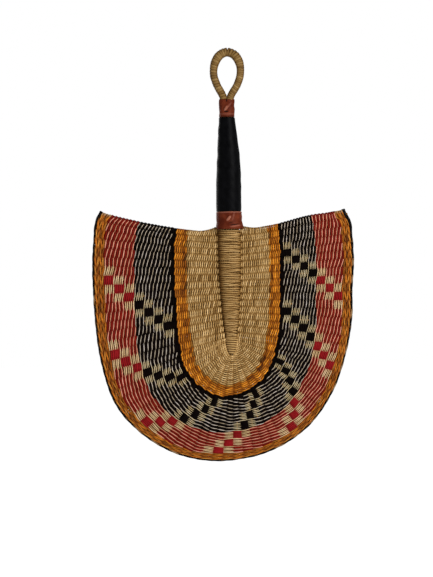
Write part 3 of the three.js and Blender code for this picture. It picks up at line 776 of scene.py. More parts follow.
def row_pattern(row, stake, squares):
    """Which strand is in front at each stake of a row, and which stakes have a square."""
    row = row + (squares or 0)
    front = np.where((stake - row) % 2 == 0, 1, -1)
    if squares is None:
        return front, np.zeros(len(stake))
    place = stake - (LAST_BLOCK - row // BLOCK_ROWS)
    phase = (place - FIRST_SQUARE) % SQUARE_EVERY
    near = (place >= FIRST_SQUARE - 1) & (place <= LAST_SQUARE + 1)
    solid = near & (phase == 0)
    pale = near & ((phase == 1) | (phase == SQUARE_EVERY - 1))
    return np.where(solid, 1, np.where(pale, -1, front)), (solid | pale).astype(float)


# The twining of each band:
#   strands   the two strands of each row: dye, share of the row, and how much fuller and how
#             much more leaning each is between the stakes
#   over      how full a strand is where it passes a stake, and across where two strands cross
#   belly     how much fuller it is on its way from one to the other
#   tuck      how much sooner each strand ends, in stakes
#   full      fullness over all, and uneven how much it wanders
#   flatness  thickness as a share of the width
#   lean      how far the strands lean over the row's edge, by turns
#   rise      how far in front of and behind the stakes they lie, in millimetres
#   painted_shade  how dark they are painted, as shade, where they cross, and beside how much
#                  more beside the spine
#   end_lift  how far a row's ends lift, over what reach, and -1 where the next row's ends drop
#   squares   what a checked band's rows are counted on by, so that both bands count as one
#   selvedge  where, from a row's ends inwards, its strands turn from the squares' colours
#   bare      how much of the rim's dye is lost in its bare places
EVEN = {"strands": (((1, 1, 0, 0), (1, 1, 0, 0)),), "over": 0.68, "across": 0.76, "belly": 0.2,
        "tuck": (0, 0.02), "full": 1.02, "uneven": 0.06, "flatness": 0.85, "painted_shade": 0.7,
        "beside": (0,), "end_lift": (0, 1, 1), "squares": None}
SOLID = {**EVEN, "over": 1.0, "across": 0.9, "belly": 0.06, "flatness": 0.7}
CHECKS = {**SOLID, "tuck": (0, 0.06), "full": 1.06, "lean": (0.62,), "rise": 1.3, "painted_shade": 0.2,
          "end_lift": (0.4, 0.4, -1)}
FORMS = {
    "natural": {**EVEN, "over": 0.62, "across": 0.8, "belly": 0.26, "lean": (0.5, 0.6),
                "rise": 1.45, "beside": (0.8, 0.2, 0)},
    "orange": {**EVEN, "strands": (((0, 0.95, 0, 0), (1, 1, 0, 0)), *EVEN["strands"]),
               "full": 1.08, "lean": (0.5, 0.6), "rise": 1.45, "painted_shade": 0.75},
    "line": {**SOLID, "full": 1.25, "lean": (0.4,), "rise": 1.35},
    "black_checks": {**CHECKS, "squares": -BLACK_LINE_ROWS,
                     "strands": (((1, 1.3, 0.15, -0.2), (0, 0.5, -0.15, 0.2)),)},
    "red_checks": {**CHECKS, "squares": BLACK_CHECK_ROWS,
                   "strands": (((1, 1.22, 0.15, -0.15), (0, 0.67, -0.08, 0.15)),)},
    "outer": {**EVEN, "strands": (((0, 1, 0, 0), (1, 0.9, 0, 0)),), "over": 0.76, "full": 1.15,
              "lean": (0.5, -0.5), "rise": 1.0, "painted_shade": 0.6, "selvedge": (0.1, 0.28)},
    "rim": {**SOLID, "uneven": 0.14, "lean": (0.4,), "rise": 0.9, "bare": 0.85,
            "end_lift": (0.8, 0.5, 1)},
}
# The rim's binding is thin at the left and the foot and full at the right and at both corners.
# Where it is full it moves inwards by a share of the extra, and where thin it stays snug.
RIM_PLACES = (-0.5, 0.5, 2.5, 34, 50, 62, 64, STAKE_COUNT - 0.5)
RIM_FULLNESS = (1.6, 1.3, 0.78, 0.88, 1.05, 1.4, 2.2, 2.4)
RIM_INWARD = 0.2
RIM_SNUG = 0.5
# Straw shows undyed in places, from one stretch of stakes to another
RIM_BARE_FROM, RIM_BARE_TO = (1, 5), (61.5, 63)
RIM_BARE_CHANCE = 0.5


def make_band(node, form, finish, slot, end="weave", rows=None):
    """A band's rows of twining as one piece."""
    index = BAND_NAMES.index(node)
    places = INNER_PLACES if index < INNER_BANDS else OUTER_PLACES
    form = FORMS[form]
    paths = []
    for row in rows or range(BAND_ROWS[index]):
        pattern = row_pattern(row, np.arange(len(places)), form["squares"])
        paths += twined_row(index, row, places, pattern, form)
    stands_for(sweep(f"{node}_{end}", paths, 1.0, form["flatness"], finish), slot, node)


def make_weave():
    black = ("black_check_band", black_check_finish, "black_and_natural_straw")
    make_band("natural_field", "natural", natural_finish, "natural_straw")
    make_band("inner_orange_band", "orange", orange_finish, "orange_straw")
    make_band(black[0], "line", *black[1:], "line", range(BLACK_LINE_ROWS))
    make_band(black[0], "black_checks", *black[1:], "checks",
              range(BLACK_LINE_ROWS, BLACK_LINE_ROWS + BLACK_CHECK_ROWS))
    make_band("red_check_band", "red_checks", red_check_finish, "red_and_natural_straw")
    make_band("outer_orange_band", "outer", streaky_finish, "orange_straw")
    make_band("rim_binding", "rim", rim_finish, "black_straw")


# Stakes and spine

STAKE_WIDTH = 2.5
STAKE_THICKNESS = 1.5
STAKE_END = 0.992
STAKE_POINTS = 26
# How dark a stake is painted under the weave, as shade
SHADE_UNDER_WEAVE = 0.75
SIDE_ROOT = 0.55
FOOT_ROOT = 0.75
# The two straws of the coil: width as a share of a stake's, how far down the turn each lies,
# how far it is sunk between its neighbours, its tone and its painted shade
COIL_STRAWS = ((0.56, 0.27, 0.0, 0.72, 0.08), (0.52, 0.77, 0.4, 0.3, 0.45))
COIL_STEPS = 22
COIL_PROUD = 0.5
COIL_PROUD_AT_TIP = -0.5
# Uneven turns: their tilt and wave, and how their tone and width change
COIL_TILT = 0.6
COIL_WAVE = 0.42
COIL_WAVES = (4.3, 1.7)
COIL_TONE_KNOTS = 24
COIL_TONE_SPREAD = 0.26
COIL_UNEVEN = 0.08
# The coil's sides are painted darker as shade, from these shares of the spine's half width on,
# the right one less, as the light comes from the right
SHADED_LEFT, SHADED_RIGHT = 0.45, 0.75
RIGHT_SHADE = 0.8
# The spine's tip leans this far to the right
TIP_DRIFT = 1.2


def prong_spread(v, s):
    """How far a prong stands off its fork's middle, in stakes."""
    edges = [band_edge(index, s) for index in (1, 2, 3)]
    return np.where(v <= edges[0], 0, np.interp(v, edges, PRONG_SPREADS))


def stake_straw(s, side=0, root=1.0, order=1):
    """A stake's straw from the spine, where it is as full as its root, to the rim. Order -1
    runs it from the rim to the spine."""
    v = np.linspace(0, STAKE_END, STAKE_POINTS)[::order]
    full = np.linspace(root, 1, STAKE_POINTS)[::order]
    return make_path(blade_at(s + side * prong_spread(v, s), v), FRONT, fullness=full, tone=0.5,
                     shade=SHADE_UNDER_WEAVE)


def finish_stake(piece, node, paths):
    thing = sweep(piece, paths, STAKE_WIDTH, STAKE_THICKNESS, stake_finish, sides=8)
    stands_for(thing, "stake_straw", node)


def tip_drift(z):
    return TIP_DRIFT * down_spine(z) ** 4


def wrap_turns(index, drop, sunk):
    """The turns of one straw of a crossing stake round the spine, from its left side."""
    turn = np.linspace(0, TURN * WRAPS_PER_STAKE, COIL_STEPS * WRAPS_PER_STAKE + 1)
    top = SPINE_TOP - index * WRAP_PITCH - WRAP_PITCH / WRAPS_PER_STAKE * drop
    fall = turn / TURN * WRAP_PITCH / WRAPS_PER_STAKE
    knots = 2 * WRAPS_PER_STAKE + 1
    tilt = np.interp(turn, np.linspace(0, turn[-1], knots), chance.normal(0, COIL_TILT, knots))
    fast, slow = COIL_WAVES
    wave = COIL_WAVE * np.sin(fast * turn + chance.uniform(0, 6)) * np.sin(slow * turn + index)
    z = top - fall + tilt * np.sin(turn + chance.uniform(0, 6)) + wave
    down = np.clip((SPINE_TOP - z) / (SPINE_TOP - WRAPS_END), 0, 1)
    proud = mix(COIL_PROUD, COIL_PROUD_AT_TIP, down ** 2)
    half = spine_half(z) + proud - sunk
    depth = spine_depth(z) + proud / 2 - sunk
    points = round_axis(-half, -depth, turn, z, tip_drift(z))
    return points, points_at(-np.cos(turn) / half, -np.sin(turn) / depth, 0)


def coil_straws(index):
    """Two straws side by side, wound together round the spine, with painted shade at its sides."""
    paths = []
    for share, drop, sunk, plain, painted_shade in COIL_STRAWS:
        turns, out = wrap_turns(index, drop, sunk)
        step = np.arange(len(turns))
        across = turns[:, 0] / spine_half(turns[:, 2])
        # Painted shade: the coil darkens towards its sides, more on the left, away from the light
        side = np.where(across < 0, smooth(-across, SHADED_LEFT, 1),
                        RIGHT_SHADE * smooth(across, SHADED_RIGHT, 1))
        tone = np.interp(step, np.linspace(0, len(turns) - 1, COIL_TONE_KNOTS),
                         chance.normal(plain, COIL_TONE_SPREAD, COIL_TONE_KNOTS))
        full = share * (1 + COIL_UNEVEN * np.sin(step * 0.9 + 3 * index))
        paths.append(make_path(turns, out, fullness=full, tone=np.clip(tone, 0, 1),
                               shade=mix(painted_shade, 1, side)))
    return paths


def make_stakes():
    """A crossing stake comes in from the left, winds round the spine and goes out again. A foot
    stake is two straws that lie together at the spine and part where the blade widens."""
    for k in range(CROSS_COUNT):
        node = f"cross_stake_{k + 1:02d}"
        paths = [stake_straw(k, order=-1), stake_straw(STAKE_COUNT - 1 - k)]
        finish_stake(node + "_straws", node, paths + coil_straws(k))
    for k in range(SIDE_COUNT):
        node = f"side_stake_{k + 1:02d}"
        finish_stake(node + "_straw", node, [stake_straw(CROSS_COUNT + k, root=SIDE_ROOT)])
    for k in range(FORK_COUNT):
        node = f"foot_stake_{k + 1:02d}"
        s = FORKED_START + 0.5 + 2 * k
        paths = [stake_straw(s, side, FOOT_ROOT) for side in (-1, 1)]
        finish_stake(node + "_straws", node, paths)


BUNDLE_STRAWS = 22
HANDLE_POINTS, SPINE_POINTS, TIP_POINTS = 16, 14, 9
# How full the bundle's straws are at the spine's tip and above it
BUNDLE_FULLNESS = (0.5, 1.3)
BUNDLE_TONES = (0.2, 0.8)
# Straws down each side of the spine, one under the coil and one beside it, painted dark as
# shade so that the gaps beside the spine look dark: how far each lies out from the coil's side,
# and how far back. They grow fuller towards the tip.
SHADED_SIDE_STRAWS = ((-1.5, 0.3), (0.6, 1.9))
SIDE_STRAW_FULLNESS = (1.1, 1.5)
SIDE_STRAW_POINTS = 40
TIP_TURNS = 7
TIP_SUNK = 0.6
TIP_FULLNESS, TIP_TONE = 0.95, 0.55


def make_spine_core():
    """Straws that run down the handle and the spine, and a binding round the spine's tip."""
    lowest, highest = heights("straw_core")
    tip_height = WRAPS_END - lowest
    z = np.concatenate([
        np.linspace(highest, SPINE_TOP, HANDLE_POINTS),
        np.linspace(SPINE_TOP, WRAPS_END, SPINE_POINTS)[1:],
        mix(WRAPS_END, lowest, np.sin(np.linspace(0, math.pi / 2, TIP_POINTS)))[1:],
    ])
    half = np.where(z > SPINE_TOP, grip_half(np.minimum(z, GRIP_HIGH)) - LEATHER - FIT,
                    spine_half(z) / FLAT_SHARE - WRAP_SKIN)
    depth = np.where(z > SPINE_TOP, half, half * SPINE_ROUNDNESS)
    down = np.clip((WRAPS_END - z) / tip_height, 0, 1)
    shrink = np.sqrt(np.clip(1 - down ** 2, 0.02, 1))
    paths = []
    for k in range(BUNDLE_STRAWS):
        angle = TURN * (k + 0.5) / BUNDLE_STRAWS
        points = round_axis(half * shrink - STAKE_THICKNESS, depth * shrink - STAKE_THICKNESS,
                            angle, z)
        paths.append(make_path(points, round_axis(1, 1, angle, 0),
                               fullness=mix(*BUNDLE_FULLNESS, shrink),
                               tone=chance.uniform(*BUNDLE_TONES)))
    z = np.linspace(SPINE_TOP - 1, SPINE_TIP - 1, SIDE_STRAW_POINTS)
    full = mix(*SIDE_STRAW_FULLNESS, np.linspace(0, 1, SIDE_STRAW_POINTS) ** 2)
    # These straws are painted dark, with no tone and full shade, standing for shade in the gaps
    # beside the spine
    for proud, behind in SHADED_SIDE_STRAWS:
        for side in (-1, 1):
            points = points_at(side * (spine_half(z) + proud) + tip_drift(z), behind, z)
            paths.append(make_path(points, FRONT, fullness=full, tone=0, shade=1.0))

    turn = np.linspace(0, TURN * TIP_TURNS, COIL_STEPS * TIP_TURNS)
    z = mix(WRAPS_END, lowest + 2, turn / turn[-1])
    shrink = np.sqrt(1 - ((WRAPS_END - z) / tip_height) ** 2)
    points = round_axis(TIP_SUNK - spine_half(WRAPS_END) * shrink,
                        TIP_SUNK - spine_depth(WRAPS_END) * shrink, turn, z, tip_drift(z))
    paths.append(make_path(points, round_axis(-1, -1, turn, 0), fullness=TIP_FULLNESS,
                           tone=TIP_TONE))
    finish_stake("straw_bundle", "straw_core", paths)


# Loop

LOOP_HALF_WIDTH = 16.0
LOOP_CROWN_RISE = 23.6
LOOP_CROWN_THICKNESS = 10.4
LOOP_LEG_THICKNESS = 8.8
LOOP_FULLER = 0.5
LOOP_LEG_SPACING = 8.2
LOOP_LEG_TUCK = 1.2
LOOP_MEETING = 1.8
CROWN_OVERHANG = 40
CROWN_POINTS = 9
# The crown sits a little to the right, and its right shoulder is fuller
LOOP_LEAN = 0.6
LOOP_SHOULDER = 1.3
LOOP_SHOULDER_ANGLE = math.radians(48)
LOOP_TURNS = 48
LOOP_STEPS = 18
LOOP_STRAW_WIDTH = 3.5
LOOP_STRAW_THICKNESS = 0.8
# The straw is wound flat, so its fibres hardly twist
LOOP_TWIST_LENGTH = 400
# How unlike its turns are: their steps, their tone and their fullness
LOOP_STEP_RANGE = (0.85, 1.15)
LOOP_TONE_SPREAD = 0.22
LOOP_FULLNESS_SPREAD = 0.07
# How dark the loop's turns are painted, as shade, where they round the sides of the tube
LOOP_SIDE_SHADE = 0.7
# From the left leg over the crown to the right leg: how closely the turns lie, and how full
LOOP_PLACES = (0, 0.3, 0.42, 0.5, 0.58, 0.7, 1)
LOOP_SPACING = (1.15, 1.15, 1.0, 1.0, 0.95, 0.85, 0.78)
LOOP_FULLNESS = (1.12, 1.12, 1.0, 0.92, 0.98, 0.9, 0.78)


def loop_line(widest):
    """Middle line of the loop, from inside the collar up one leg and down the other."""
    leg = LOOP_LEG_SPACING / 2
    socket, _ = heights("loop_core")
    crown = []
    for angle in np.radians(np.linspace(180 + CROWN_OVERHANG, -CROWN_OVERHANG, CROWN_POINTS)):
        fuller = LOOP_SHOULDER * max(0, math.cos(angle - LOOP_SHOULDER_ANGLE)) ** 4
        crown.append((LOOP_LEAN + (LOOP_HALF_WIDTH + fuller) * math.cos(angle), 0,
                      widest + (LOOP_CROWN_RISE + fuller / 2) * math.sin(angle)))
    return catmull_rom([
        (-leg + LOOP_LEG_TUCK, 0, socket), (-leg, 0, UPPER_HIGH + LOOP_MEETING), *crown,
        (leg, 0, UPPER_HIGH + LOOP_MEETING), (leg - LOOP_LEG_TUCK, 0, socket)])


def make_loop():
    """A flat straw wound round the loop, from leg to leg. Its turns crowd at the right."""
    widest = LOOP_CROWN_THICKNESS / 2 - LOOP_CROWN_RISE
    line = loop_line(widest)
    seen = np.flatnonzero(line[:, 2] > UPPER_HIGH - 1)
    turn = np.linspace(0, TURN * LOOP_TURNS, LOOP_TURNS * LOOP_STEPS + 1)
    even = np.linspace(0, 1, LOOP_TURNS)
    crowd = np.cumsum(chance.uniform(*LOOP_STEP_RANGE, LOOP_TURNS)
                      * np.interp(even, LOOP_PLACES, LOOP_SPACING))
    crowd = (crowd - crowd[0]) / (crowd[-1] - crowd[0])
    share = np.interp(turn / turn[-1], even, crowd)
    middle = along(line[seen[0]:seen[-1] + 1], share)
    side = np.cross(unit(np.gradient(middle, axis=0)), (0, 1, 0))
    out = side * np.cos(turn)[:, None] + np.array((0, 1, 0)) * np.sin(turn)[:, None]
    thick = mix(LOOP_LEG_THICKNESS, LOOP_CROWN_THICKNESS, smooth(middle[:, 2], widest, 0))
    points = middle + out * ((thick + LOOP_FULLER - LOOP_STRAW_THICKNESS) / 2)[:, None]

    def each_turn(plain, spread):
        return np.repeat(chance.normal(plain, spread, LOOP_TURNS + 1), LOOP_STEPS)[:len(turn)]

    tone = np.clip(each_turn(0.5, LOOP_TONE_SPREAD), 0, 1)
    full = np.interp(share, LOOP_PLACES, LOOP_FULLNESS) * each_turn(1, LOOP_FULLNESS_SPREAD)
    # Painted shade: each turn darkens where it rounds the tube's sides
    path = make_path(points, out, fullness=full, tone=tone,
                     shade=LOOP_SIDE_SHADE * smooth(np.abs(np.cos(turn)), 0.5, 1))
    winding = sweep("loop_straw_turns", [path], LOOP_STRAW_WIDTH, LOOP_STRAW_THICKNESS,
                    loop_finish, sides=8, twist_length=LOOP_TWIST_LENGTH)
    stands_for(winding, "loop_straw", "loop_winding")
    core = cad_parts["loop_core"]
    core.data.materials.clear()
    core.data.materials.append(stake_finish)


# Leather

def leather_group():
    """Pores, creases and worn tone of thin goatskin."""
    tree, given = new_tree(
        "Thin Leather", "ShaderNodeTree",
        [("Colour", "Color", (0.1, 0.03, 0.02, 1)), ("Worn Colour", "Color", (0.2, 0.06, 0.04, 1)),
         ("Grain Size", "Float", 0.0012), ("Relief", "Float", 0.4)],
        FINISH_OUTPUTS)
    place = put(tree, "ShaderNodeTexCoord", "Object")
    pores = put(tree, "ShaderNodeTexVoronoi", "Distance", {
        "Vector": place, "Scale": math_node(tree, "DIVIDE", 1.0, given["Grain Size"])})
    cloud = noise(tree, place, scale=130, detail=4)
    crease = noise(tree, place, scale=420, detail=3, distortion=1.2)
    worn = put(tree, "ShaderNodeMapRange", "Result",
               {"Value": cloud, "From Min": 0.4, "From Max": 0.68})
    tint = blend(tree, worn, given["Colour"], given["Worn Colour"])
    height = math_node(tree, "ADD", math_node(tree, "MULTIPLY", pores, 0.5), crease)
    end_group(tree, tint, height, distance=0.0004, strength=given["Relief"], rough=0.35,
              unlike=(cloud, 0.25))
    return tree


THIN_LEATHER = leather_group()
# What shows where the leather is worn, and the painted shade in its slits and folds and at the
# upper collar's lower rim
MARKS = {"wear": colour(176, 112, 92), "slit": colour(20, 6, 4)}


def leather_finish(name, base, worn, specular, relief):
    material, tree, shader = new_material(name, specular)
    leather = add_node(tree, "ShaderNodeGroup",
                       {"Colour": base, "Worn Colour": worn, "Relief": relief},
                       node_tree=THIN_LEATHER).outputs
    tint = leather["Colour"]
    for mark, shown in MARKS.items():
        tint = blend(tree, attribute(tree, mark), tint, shown)
    wear_finish(tree, shader, leather, tint)
    return material


red_leather = leather_finish("red leather", colour(83, 28, 11), colour(110, 47, 26),
                             specular=0.05, relief=0.7)
lace_leather = leather_finish("worn red leather", colour(136, 74, 52), colour(166, 108, 86),
                              specular=0.12, relief=0.4)
black_leather = leather_finish("black leather", colour(1, 1, 2), colour(6, 6, 8),
                               specular=0.04, relief=0.3)


def shell(name, grid, finish, **marks):
    """A closed skin over a grid of points that runs round on itself both ways."""
    rings, around, _ = grid.shape
    ids = np.arange(rings * around).reshape(rings, around)
    below = np.roll(ids, -1, axis=0)
    faces = points_at(ids, np.roll(ids, -1, axis=1), np.roll(below, -1, axis=1), below)
    mesh = bpy.data.meshes.new(name)
    mesh.from_pydata((grid.reshape(-1, 3) * MM).tolist(), [], faces.reshape(-1, 4).tolist())
    for mark in ("slit", "wear"):
        amount = np.broadcast_to(marks.get(mark, 0.0), (rings, around))
        give_values(mesh, mark, np.clip(amount, 0, 1))
    mesh.materials.append(finish)
    mesh.polygons.foreach_set("use_smooth", [True] * len(mesh.polygons))
    edit = bmesh.new()
    edit.from_mesh(mesh)
    bmesh.ops.recalc_face_normals(edit, faces=edit.faces)
    edit.to_mesh(mesh)
    edit.free()
    return add_object(name, mesh)


LIP_STEPS = 6


def sleeve_wall(low, high, steps, around, start=0.0):
    """A sleeve's wall: down its outside, round its lip, up its inside and round its other lip.
    For each point, its angle and height, how far it lies inside the outer face, and how near
    to that face it is, from 0 to 1."""
    lip = LEATHER / 2
    turn = np.linspace(0, math.pi, LIP_STEPS)[1:-1]
    down = np.linspace(high - lip, low + lip, steps)
    z = [*down, *(low + lip - lip * np.sin(turn)), *down[::-1][::2],
         *(high - lip + lip * np.sin(turn))]
    inset = [*np.zeros(steps), *(lip - lip * np.cos(turn)), *np.full(len(down[::2]), LEATHER),
             *(lip + lip * np.cos(turn))]
    inset = np.array(inset)[:, None]
    angle, z = np.meshgrid(np.linspace(0, TURN, around, endpoint=False) + start, z)
    return angle, z, inset, 1 - inset / LEATHER


RIPPLES = 7
RIPPLE_TURNS = (1, 6)
RIPPLE_LENGTHS = (7, 30)


def ripple(angle, z, size, seed):
    """Soft folds of worn leather: a few slanted waves with unlike lengths."""
    waves = np.random.default_rng(seed)
    total = np.zeros(np.broadcast(angle, z).shape)
    for _ in range(RIPPLES):
        turns = waves.integers(*RIPPLE_TURNS)
        length = waves.uniform(*RIPPLE_LENGTHS)
        phase = waves.uniform(0, TURN)
        total = total + np.sin(turns * angle + TURN * z / length + phase) / RIPPLES
    return total * size


# The grip's lap at the back: its height, where it starts and how soon it is full, and over
# what angles it dies away
GRIP_LAP = 0.9
GRIP_LAP_ANGLE = 0.21
GRIP_LAP_STEP = 0.04
GRIP_LAP_END = (0.1, 0.5)
# The seam's stitches, this angle beside the lap's edge
SEAM_ASIDE = 0.1
STITCH_PITCH = 3.6
STITCH_SHARE = 0.72
STITCH_MARGIN = 3
STITCH_RISE = np.array([-0.5, 0.1, 0.22, 0.1, -0.5])


def make_grip():
    """Black leather rolled round the handle, with its edge lapped and sewn down the back."""
    angle, z, inset, outside = sleeve_wall(GRIP_LOW, GRIP_HIGH, steps=70, around=120,
                                           start=math.pi / 2)
    from_back = np.mod(angle - math.pi / 2 + math.pi, TURN) - math.pi
    lap = GRIP_LAP * smooth(from_back, -GRIP_LAP_ANGLE, GRIP_LAP_STEP - GRIP_LAP_ANGLE)
    lap *= 1 - smooth(from_back, *GRIP_LAP_END)
    radius = grip_half(z) - inset + (lap + ripple(angle, z, size=0.35, seed=3)) * outside
    grid = round_axis(radius, radius, angle, z, grip_bow(z))
    stands_for(shell("grip_leather", grid, black_leather), "black_leather", "grip_sleeve")

    angle = math.pi / 2 - GRIP_LAP_ANGLE + SEAM_ASIDE
    paths = []
    for k in range(int((GRIP_HIGH - GRIP_LOW - 2 * STITCH_MARGIN) / STITCH_PITCH)):
        top = GRIP_HIGH - STITCH_MARGIN - k * STITCH_PITCH
        z = np.linspace(top, top - STITCH_PITCH * STITCH_SHARE, len(STITCH_RISE))
        lift = grip_half(z) + GRIP_LAP + STITCH_RISE
        points = round_axis(lift, lift, angle, z, grip_bow(z))
        paths.append(make_path(points, round_axis(1, 1, angle, 0), tone=0.5))
    seam = sweep("grip_seam_thread", paths, width=0.7, thickness=0.6, finish=black_finish,
                 twist_length=2)
    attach(seam, "root")


def line_near(z, strength, height, width):
    """A level line round the leather: its strength, and 0 away from it."""
    return strength * np.exp(-((z - height) / width) ** 2)


def slit_near(x, z, centre_x, centre_z, turn, half_length, half_width):
    """1 on a straight mark in the leather, such as a slit, and 0 away from it."""
    dx, dz = x - centre_x, z - centre_z
    on = dx * math.cos(turn) + dz * math.sin(turn)
    off = -dx * math.sin(turn) + dz * math.cos(turn)
    far = np.sqrt((on / half_length) ** 2 + (off / half_width) ** 2)
    return 1 - smooth(far, 0.7, 1.3)


def marks_near(x, z, marks, join):
    """Marks put together. Each has its strength, and then what slit_near asks for."""
    total = np.zeros(np.broadcast(x, z).shape)
    for strength, *mark in marks:
        total = join(total, strength * slit_near(x, z, *mark))
    return total


# Collars. A slit or a line of wear is given as its strength, across, up, turn, half length and
# half width. Slits, and the fold between the loop's legs, are pressed in and painted dark as
# shade. A lace lies across its collar at an angle.
COLLAR_FOLD = 0.7
SLIT_DEPTH = 0.6
UPPER_HALF = GRIP_TOP_WIDTH / 2 - 0.15
UPPER_TOP_DEPTH = 5.3
UPPER_DRAW = 14
UPPER_SHIFT = -0.3
UPPER_MIDDLE = (UPPER_LOW + UPPER_HIGH) / 2
UPPER_SLITS = ((1, -0.6, UPPER_MIDDLE - 4.4, 0.15, 2.8, 0.8),
               (1, -0.3, UPPER_HIGH, math.pi / 2, 3.6, 0.6))
UPPER_WEAR = ((0.25, 2.4, UPPER_MIDDLE + 2.4, 0.9, 5.5, 1.1),)
UPPER_DIP = 0.3
UPPER_DIP_REACH = 7
UPPER_LACE = (-1.0, UPPER_MIDDLE - 0.4)
# The upper collar's lower rim is painted dark as shadow, with a worn line above it: strength,
# height and width
RIM_SHADOW = (0.5, UPPER_LOW, 1.6)
WORN_LINE = (0.25, UPPER_LOW + 3.6, 0.9)
LOWER_HALF = GRIP_WIDTH / 2 + 0.3
# The lower collar flares from this far down on, and at the right once more over this stretch
LOWER_FLARE, LOWER_FLARE_FROM = 0.5, 8
RIGHT_FLARE, RIGHT_FLARE_SPAN = 0.9, (11, 18)
LOWER_SHIFT = 0.3
LOWER_MIDDLE = LOWER_HIGH - 8.5
LOWER_LACE = (-0.5, LOWER_MIDDLE)
# The lower collar's upper rim is worn: strength, and between which heights it comes on
WORN_RIM = (0.45, LOWER_HIGH - 2.2, LOWER_HIGH - 0.8)
LOWER_SLITS = ((1, 6.6, LOWER_HIGH - 15.6, 0.12, 4.8, 0.6),
               (0.7, 1.6, LOWER_MIDDLE - 4.6, 0.3, 3.0, 0.6))
LOWER_WEAR = ((0.4, 7.4, LOWER_HIGH - 17.4, 0.15, 6.5, 0.9),
              (0.3, 5.2, LOWER_HIGH - 5.5, 1.3, 5.0, 0.8))
LACE_TURN = 0.85
LACE_LENGTH = 7.6
LACE_WIDTH = 3.3
LACE_THICKNESS = 1.1
LACE_ARCH, LACE_SUNK = 1.5, 0.7


def finish_collar(node, shift, x, y, z, slits, wear, outside, rim_shadow=0.0, dip=0.0):
    """Presses the slits into a collar's front, paints them and any rim shadow dark as painted
    shade, and makes its skin.
    """
    mark = slits * (y < 0) * outside
    grid = points_at(x + shift, y + mark * SLIT_DEPTH, z - dip)
    skin = shell(node + "_leather", grid, red_leather, slit=np.maximum(mark, rim_shadow),
                 wear=wear * outside)
    stands_for(skin, "red_leather", node)


def upper_depth(z):
    return mix(UPPER_TOP_DEPTH, UPPER_HALF, smooth(UPPER_HIGH - z, 0, UPPER_DRAW))


def make_upper_collar():
    """Red leather round both legs of the loop, drawn in at the top."""
    angle, z, inset, outside = sleeve_wall(UPPER_LOW, UPPER_HIGH, steps=44, around=96)
    near_top = smooth(z, UPPER_HIGH - UPPER_DIP_REACH, UPPER_HIGH)
    dip = UPPER_DIP * (1 - np.abs(np.cos(angle))) * near_top
    fold = ripple(angle, z, COLLAR_FOLD, seed=5) * outside
    x = (UPPER_HALF - inset + fold) * np.cos(angle)
    y = (upper_depth(z) - inset + fold) * np.sin(angle)
    # Painted shadow along the upper collar's lower rim
    rim_shadow = line_near(z, *RIM_SHADOW) * outside
    wear = line_near(z, *WORN_LINE) + marks_near(x, z, UPPER_WEAR, np.add)
    slits = marks_near(x, z, UPPER_SLITS, np.maximum)
    finish_collar("upper_collar", UPPER_SHIFT, x, y, z, slits, wear, outside, rim_shadow, dip)
    make_lace("upper_collar_lace", UPPER_LACE, UPPER_HALF, upper_depth)


def make_lower_collar():
    """Red leather over the foot of the grip, flaring where the spine begins."""
    angle, z, inset, outside = sleeve_wall(LOWER_LOW, LOWER_HIGH, steps=44, around=96)
    down = LOWER_HIGH - z
    flare = LOWER_FLARE * smooth(down, LOWER_FLARE_FROM, LOWER_HIGH - LOWER_LOW)
    right = np.maximum(0, np.cos(angle)) ** 3
    flare = flare + RIGHT_FLARE * smooth(down, *RIGHT_FLARE_SPAN) * right
    fold = ripple(angle, z, COLLAR_FOLD, seed=9) * outside
    radius = LOWER_HALF + flare - inset + fold
    x, y = radius * np.cos(angle), radius * np.sin(angle)
    worn, *rim = WORN_RIM
    wear = worn * smooth(z, *rim) + marks_near(x, z, LOWER_WEAR, np.add)
    slits = marks_near(x, z, LOWER_SLITS, np.maximum)
    finish_collar("lower_collar", LOWER_SHIFT, x, y, z, slits, wear, outside)
    make_lace("lower_collar_lace", LOWER_LACE, LOWER_HALF, lambda z: LOWER_HALF)


def make_lace(node, centre, half, depth):
    """A leather tab that comes out of the collar and goes back in."""
    share = np.linspace(-1, 1, 17)
    x = centre[0] + share * LACE_LENGTH / 2 * math.cos(LACE_TURN)
    z = centre[1] + share * LACE_LENGTH / 2 * math.sin(LACE_TURN)
    surface = depth(z) * np.sqrt(np.maximum(0, 1 - (x / half) ** 2))
    arch = LACE_ARCH * (1 - share ** 4) - LACE_SUNK
    path = make_path(points_at(x, -surface - arch, z), points_at(x / 12, -1, 0),
                     fullness=0.55 + 0.45 * (1 - share ** 2))
    lace = sweep(node + "_leather", [path], LACE_WIDTH, LACE_THICKNESS, lace_leather, sides=12)
    stands_for(lace, "red_leather", node)


# Stage

FLOOR_Z = -0.75
FLOOR_HALF = 12.0
# How much the floor glows for the camera, so that it looks white, and how bright the world is
# for everything else
FLOOR_GLOW = 0.76
WORLD_LEVEL = 0.36
MIDDLE = (0, 0, -0.25)


def seen_by(tree, *kinds):
    """1 for the rays of these kinds and 0 for all others."""
    rays = add_node(tree, "ShaderNodeLightPath").outputs
    seen = rays[kinds[0]]
    for kind in kinds[1:]:
        seen = math_node(tree, "MAXIMUM", seen, rays[kind])
    return seen


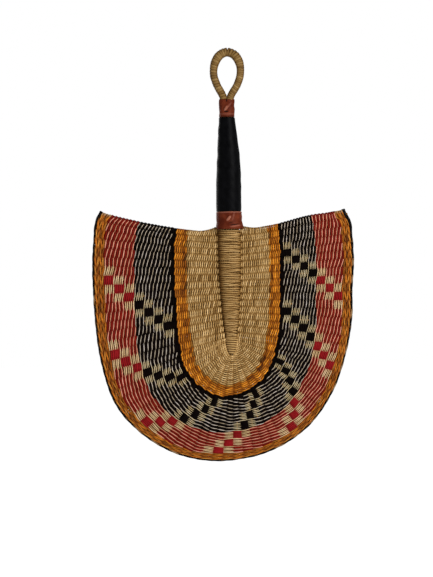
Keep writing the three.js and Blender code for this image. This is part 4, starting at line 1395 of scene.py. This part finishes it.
def floor_material():
    """Pale, and white to the camera, with the object's shadow kept."""
    material, tree, shader = new_material("pale floor", 0.2)
    seen = seen_by(tree, "Is Camera Ray", "Is Glossy Ray", "Is Transmission Ray")
    fill(tree, shader, {
        "Base Color": (0.8, 0.8, 0.8, 1), "Roughness": 0.9, "Emission Color": (1, 1, 1, 1),
        "Emission Strength": math_node(tree, "MULTIPLY", seen, FLOOR_GLOW)})
    return material


def make_stage():
    corners = [(x * FLOOR_HALF, y * FLOOR_HALF, FLOOR_Z)
               for x, y in ((-1, -1), (1, -1), (1, 1), (-1, 1))]
    mesh = bpy.data.meshes.new("floor")
    mesh.from_pydata(corners, [], [(0, 1, 2, 3)])
    mesh.materials.append(floor_material())
    add_object("floor", mesh)

    world = bpy.data.worlds.new("studio")
    bpy.context.scene.world = world
    world.use_nodes = True
    tree = world.node_tree
    seen = seen_by(tree, "Is Camera Ray", "Is Transmission Ray")
    level = math_node(tree, "ADD", math_node(tree, "MULTIPLY", seen, 1 - WORLD_LEVEL),
                      WORLD_LEVEL)
    fill(tree, tree.nodes["Background"], {"Color": (1, 1, 1, 1), "Strength": level})


def make_light(name, place, size, power):
    data = bpy.data.lights.new(name, "AREA")
    data.shape = "DISK"
    data.size = size
    data.energy = power
    light = add_object(name, data)
    light.location = place
    towards = Vector(MIDDLE) - Vector(place)
    light.rotation_euler = towards.to_track_quat("-Z", "Y").to_euler()


def make_camera():
    data = bpy.data.cameras.new("camera")
    data.sensor_fit = "HORIZONTAL"
    data.sensor_width = CAMERA_SENSOR
    data.lens = CAMERA_LENS
    camera = add_object("camera", data)
    x, z = VIEW_CENTRE
    camera.location = (x * MM, -CAMERA_DISTANCE * MM, z * MM)
    upright = Matrix.Rotation(math.pi / 2, 4, "X")
    camera.rotation_euler = (Matrix.Rotation(CAMERA_LEAN, 4, "Y") @ upright).to_euler()
    bpy.context.scene.camera = camera


make_camera()
make_weave()
make_stakes()
make_spine_core()
make_loop()
make_grip()
make_upper_collar()
make_lower_collar()
make_stage()
make_light("key", (1.2, -1.4, 0.45), size=0.8, power=28)
make_light("fill", (-1.2, -1.2, 0.2), size=1.2, power=3)
make_light("rear_fill", (-0.9, 1.6, 0.2), size=1.2, power=12)

bpy.context.scene.view_settings.view_transform = "Standard"
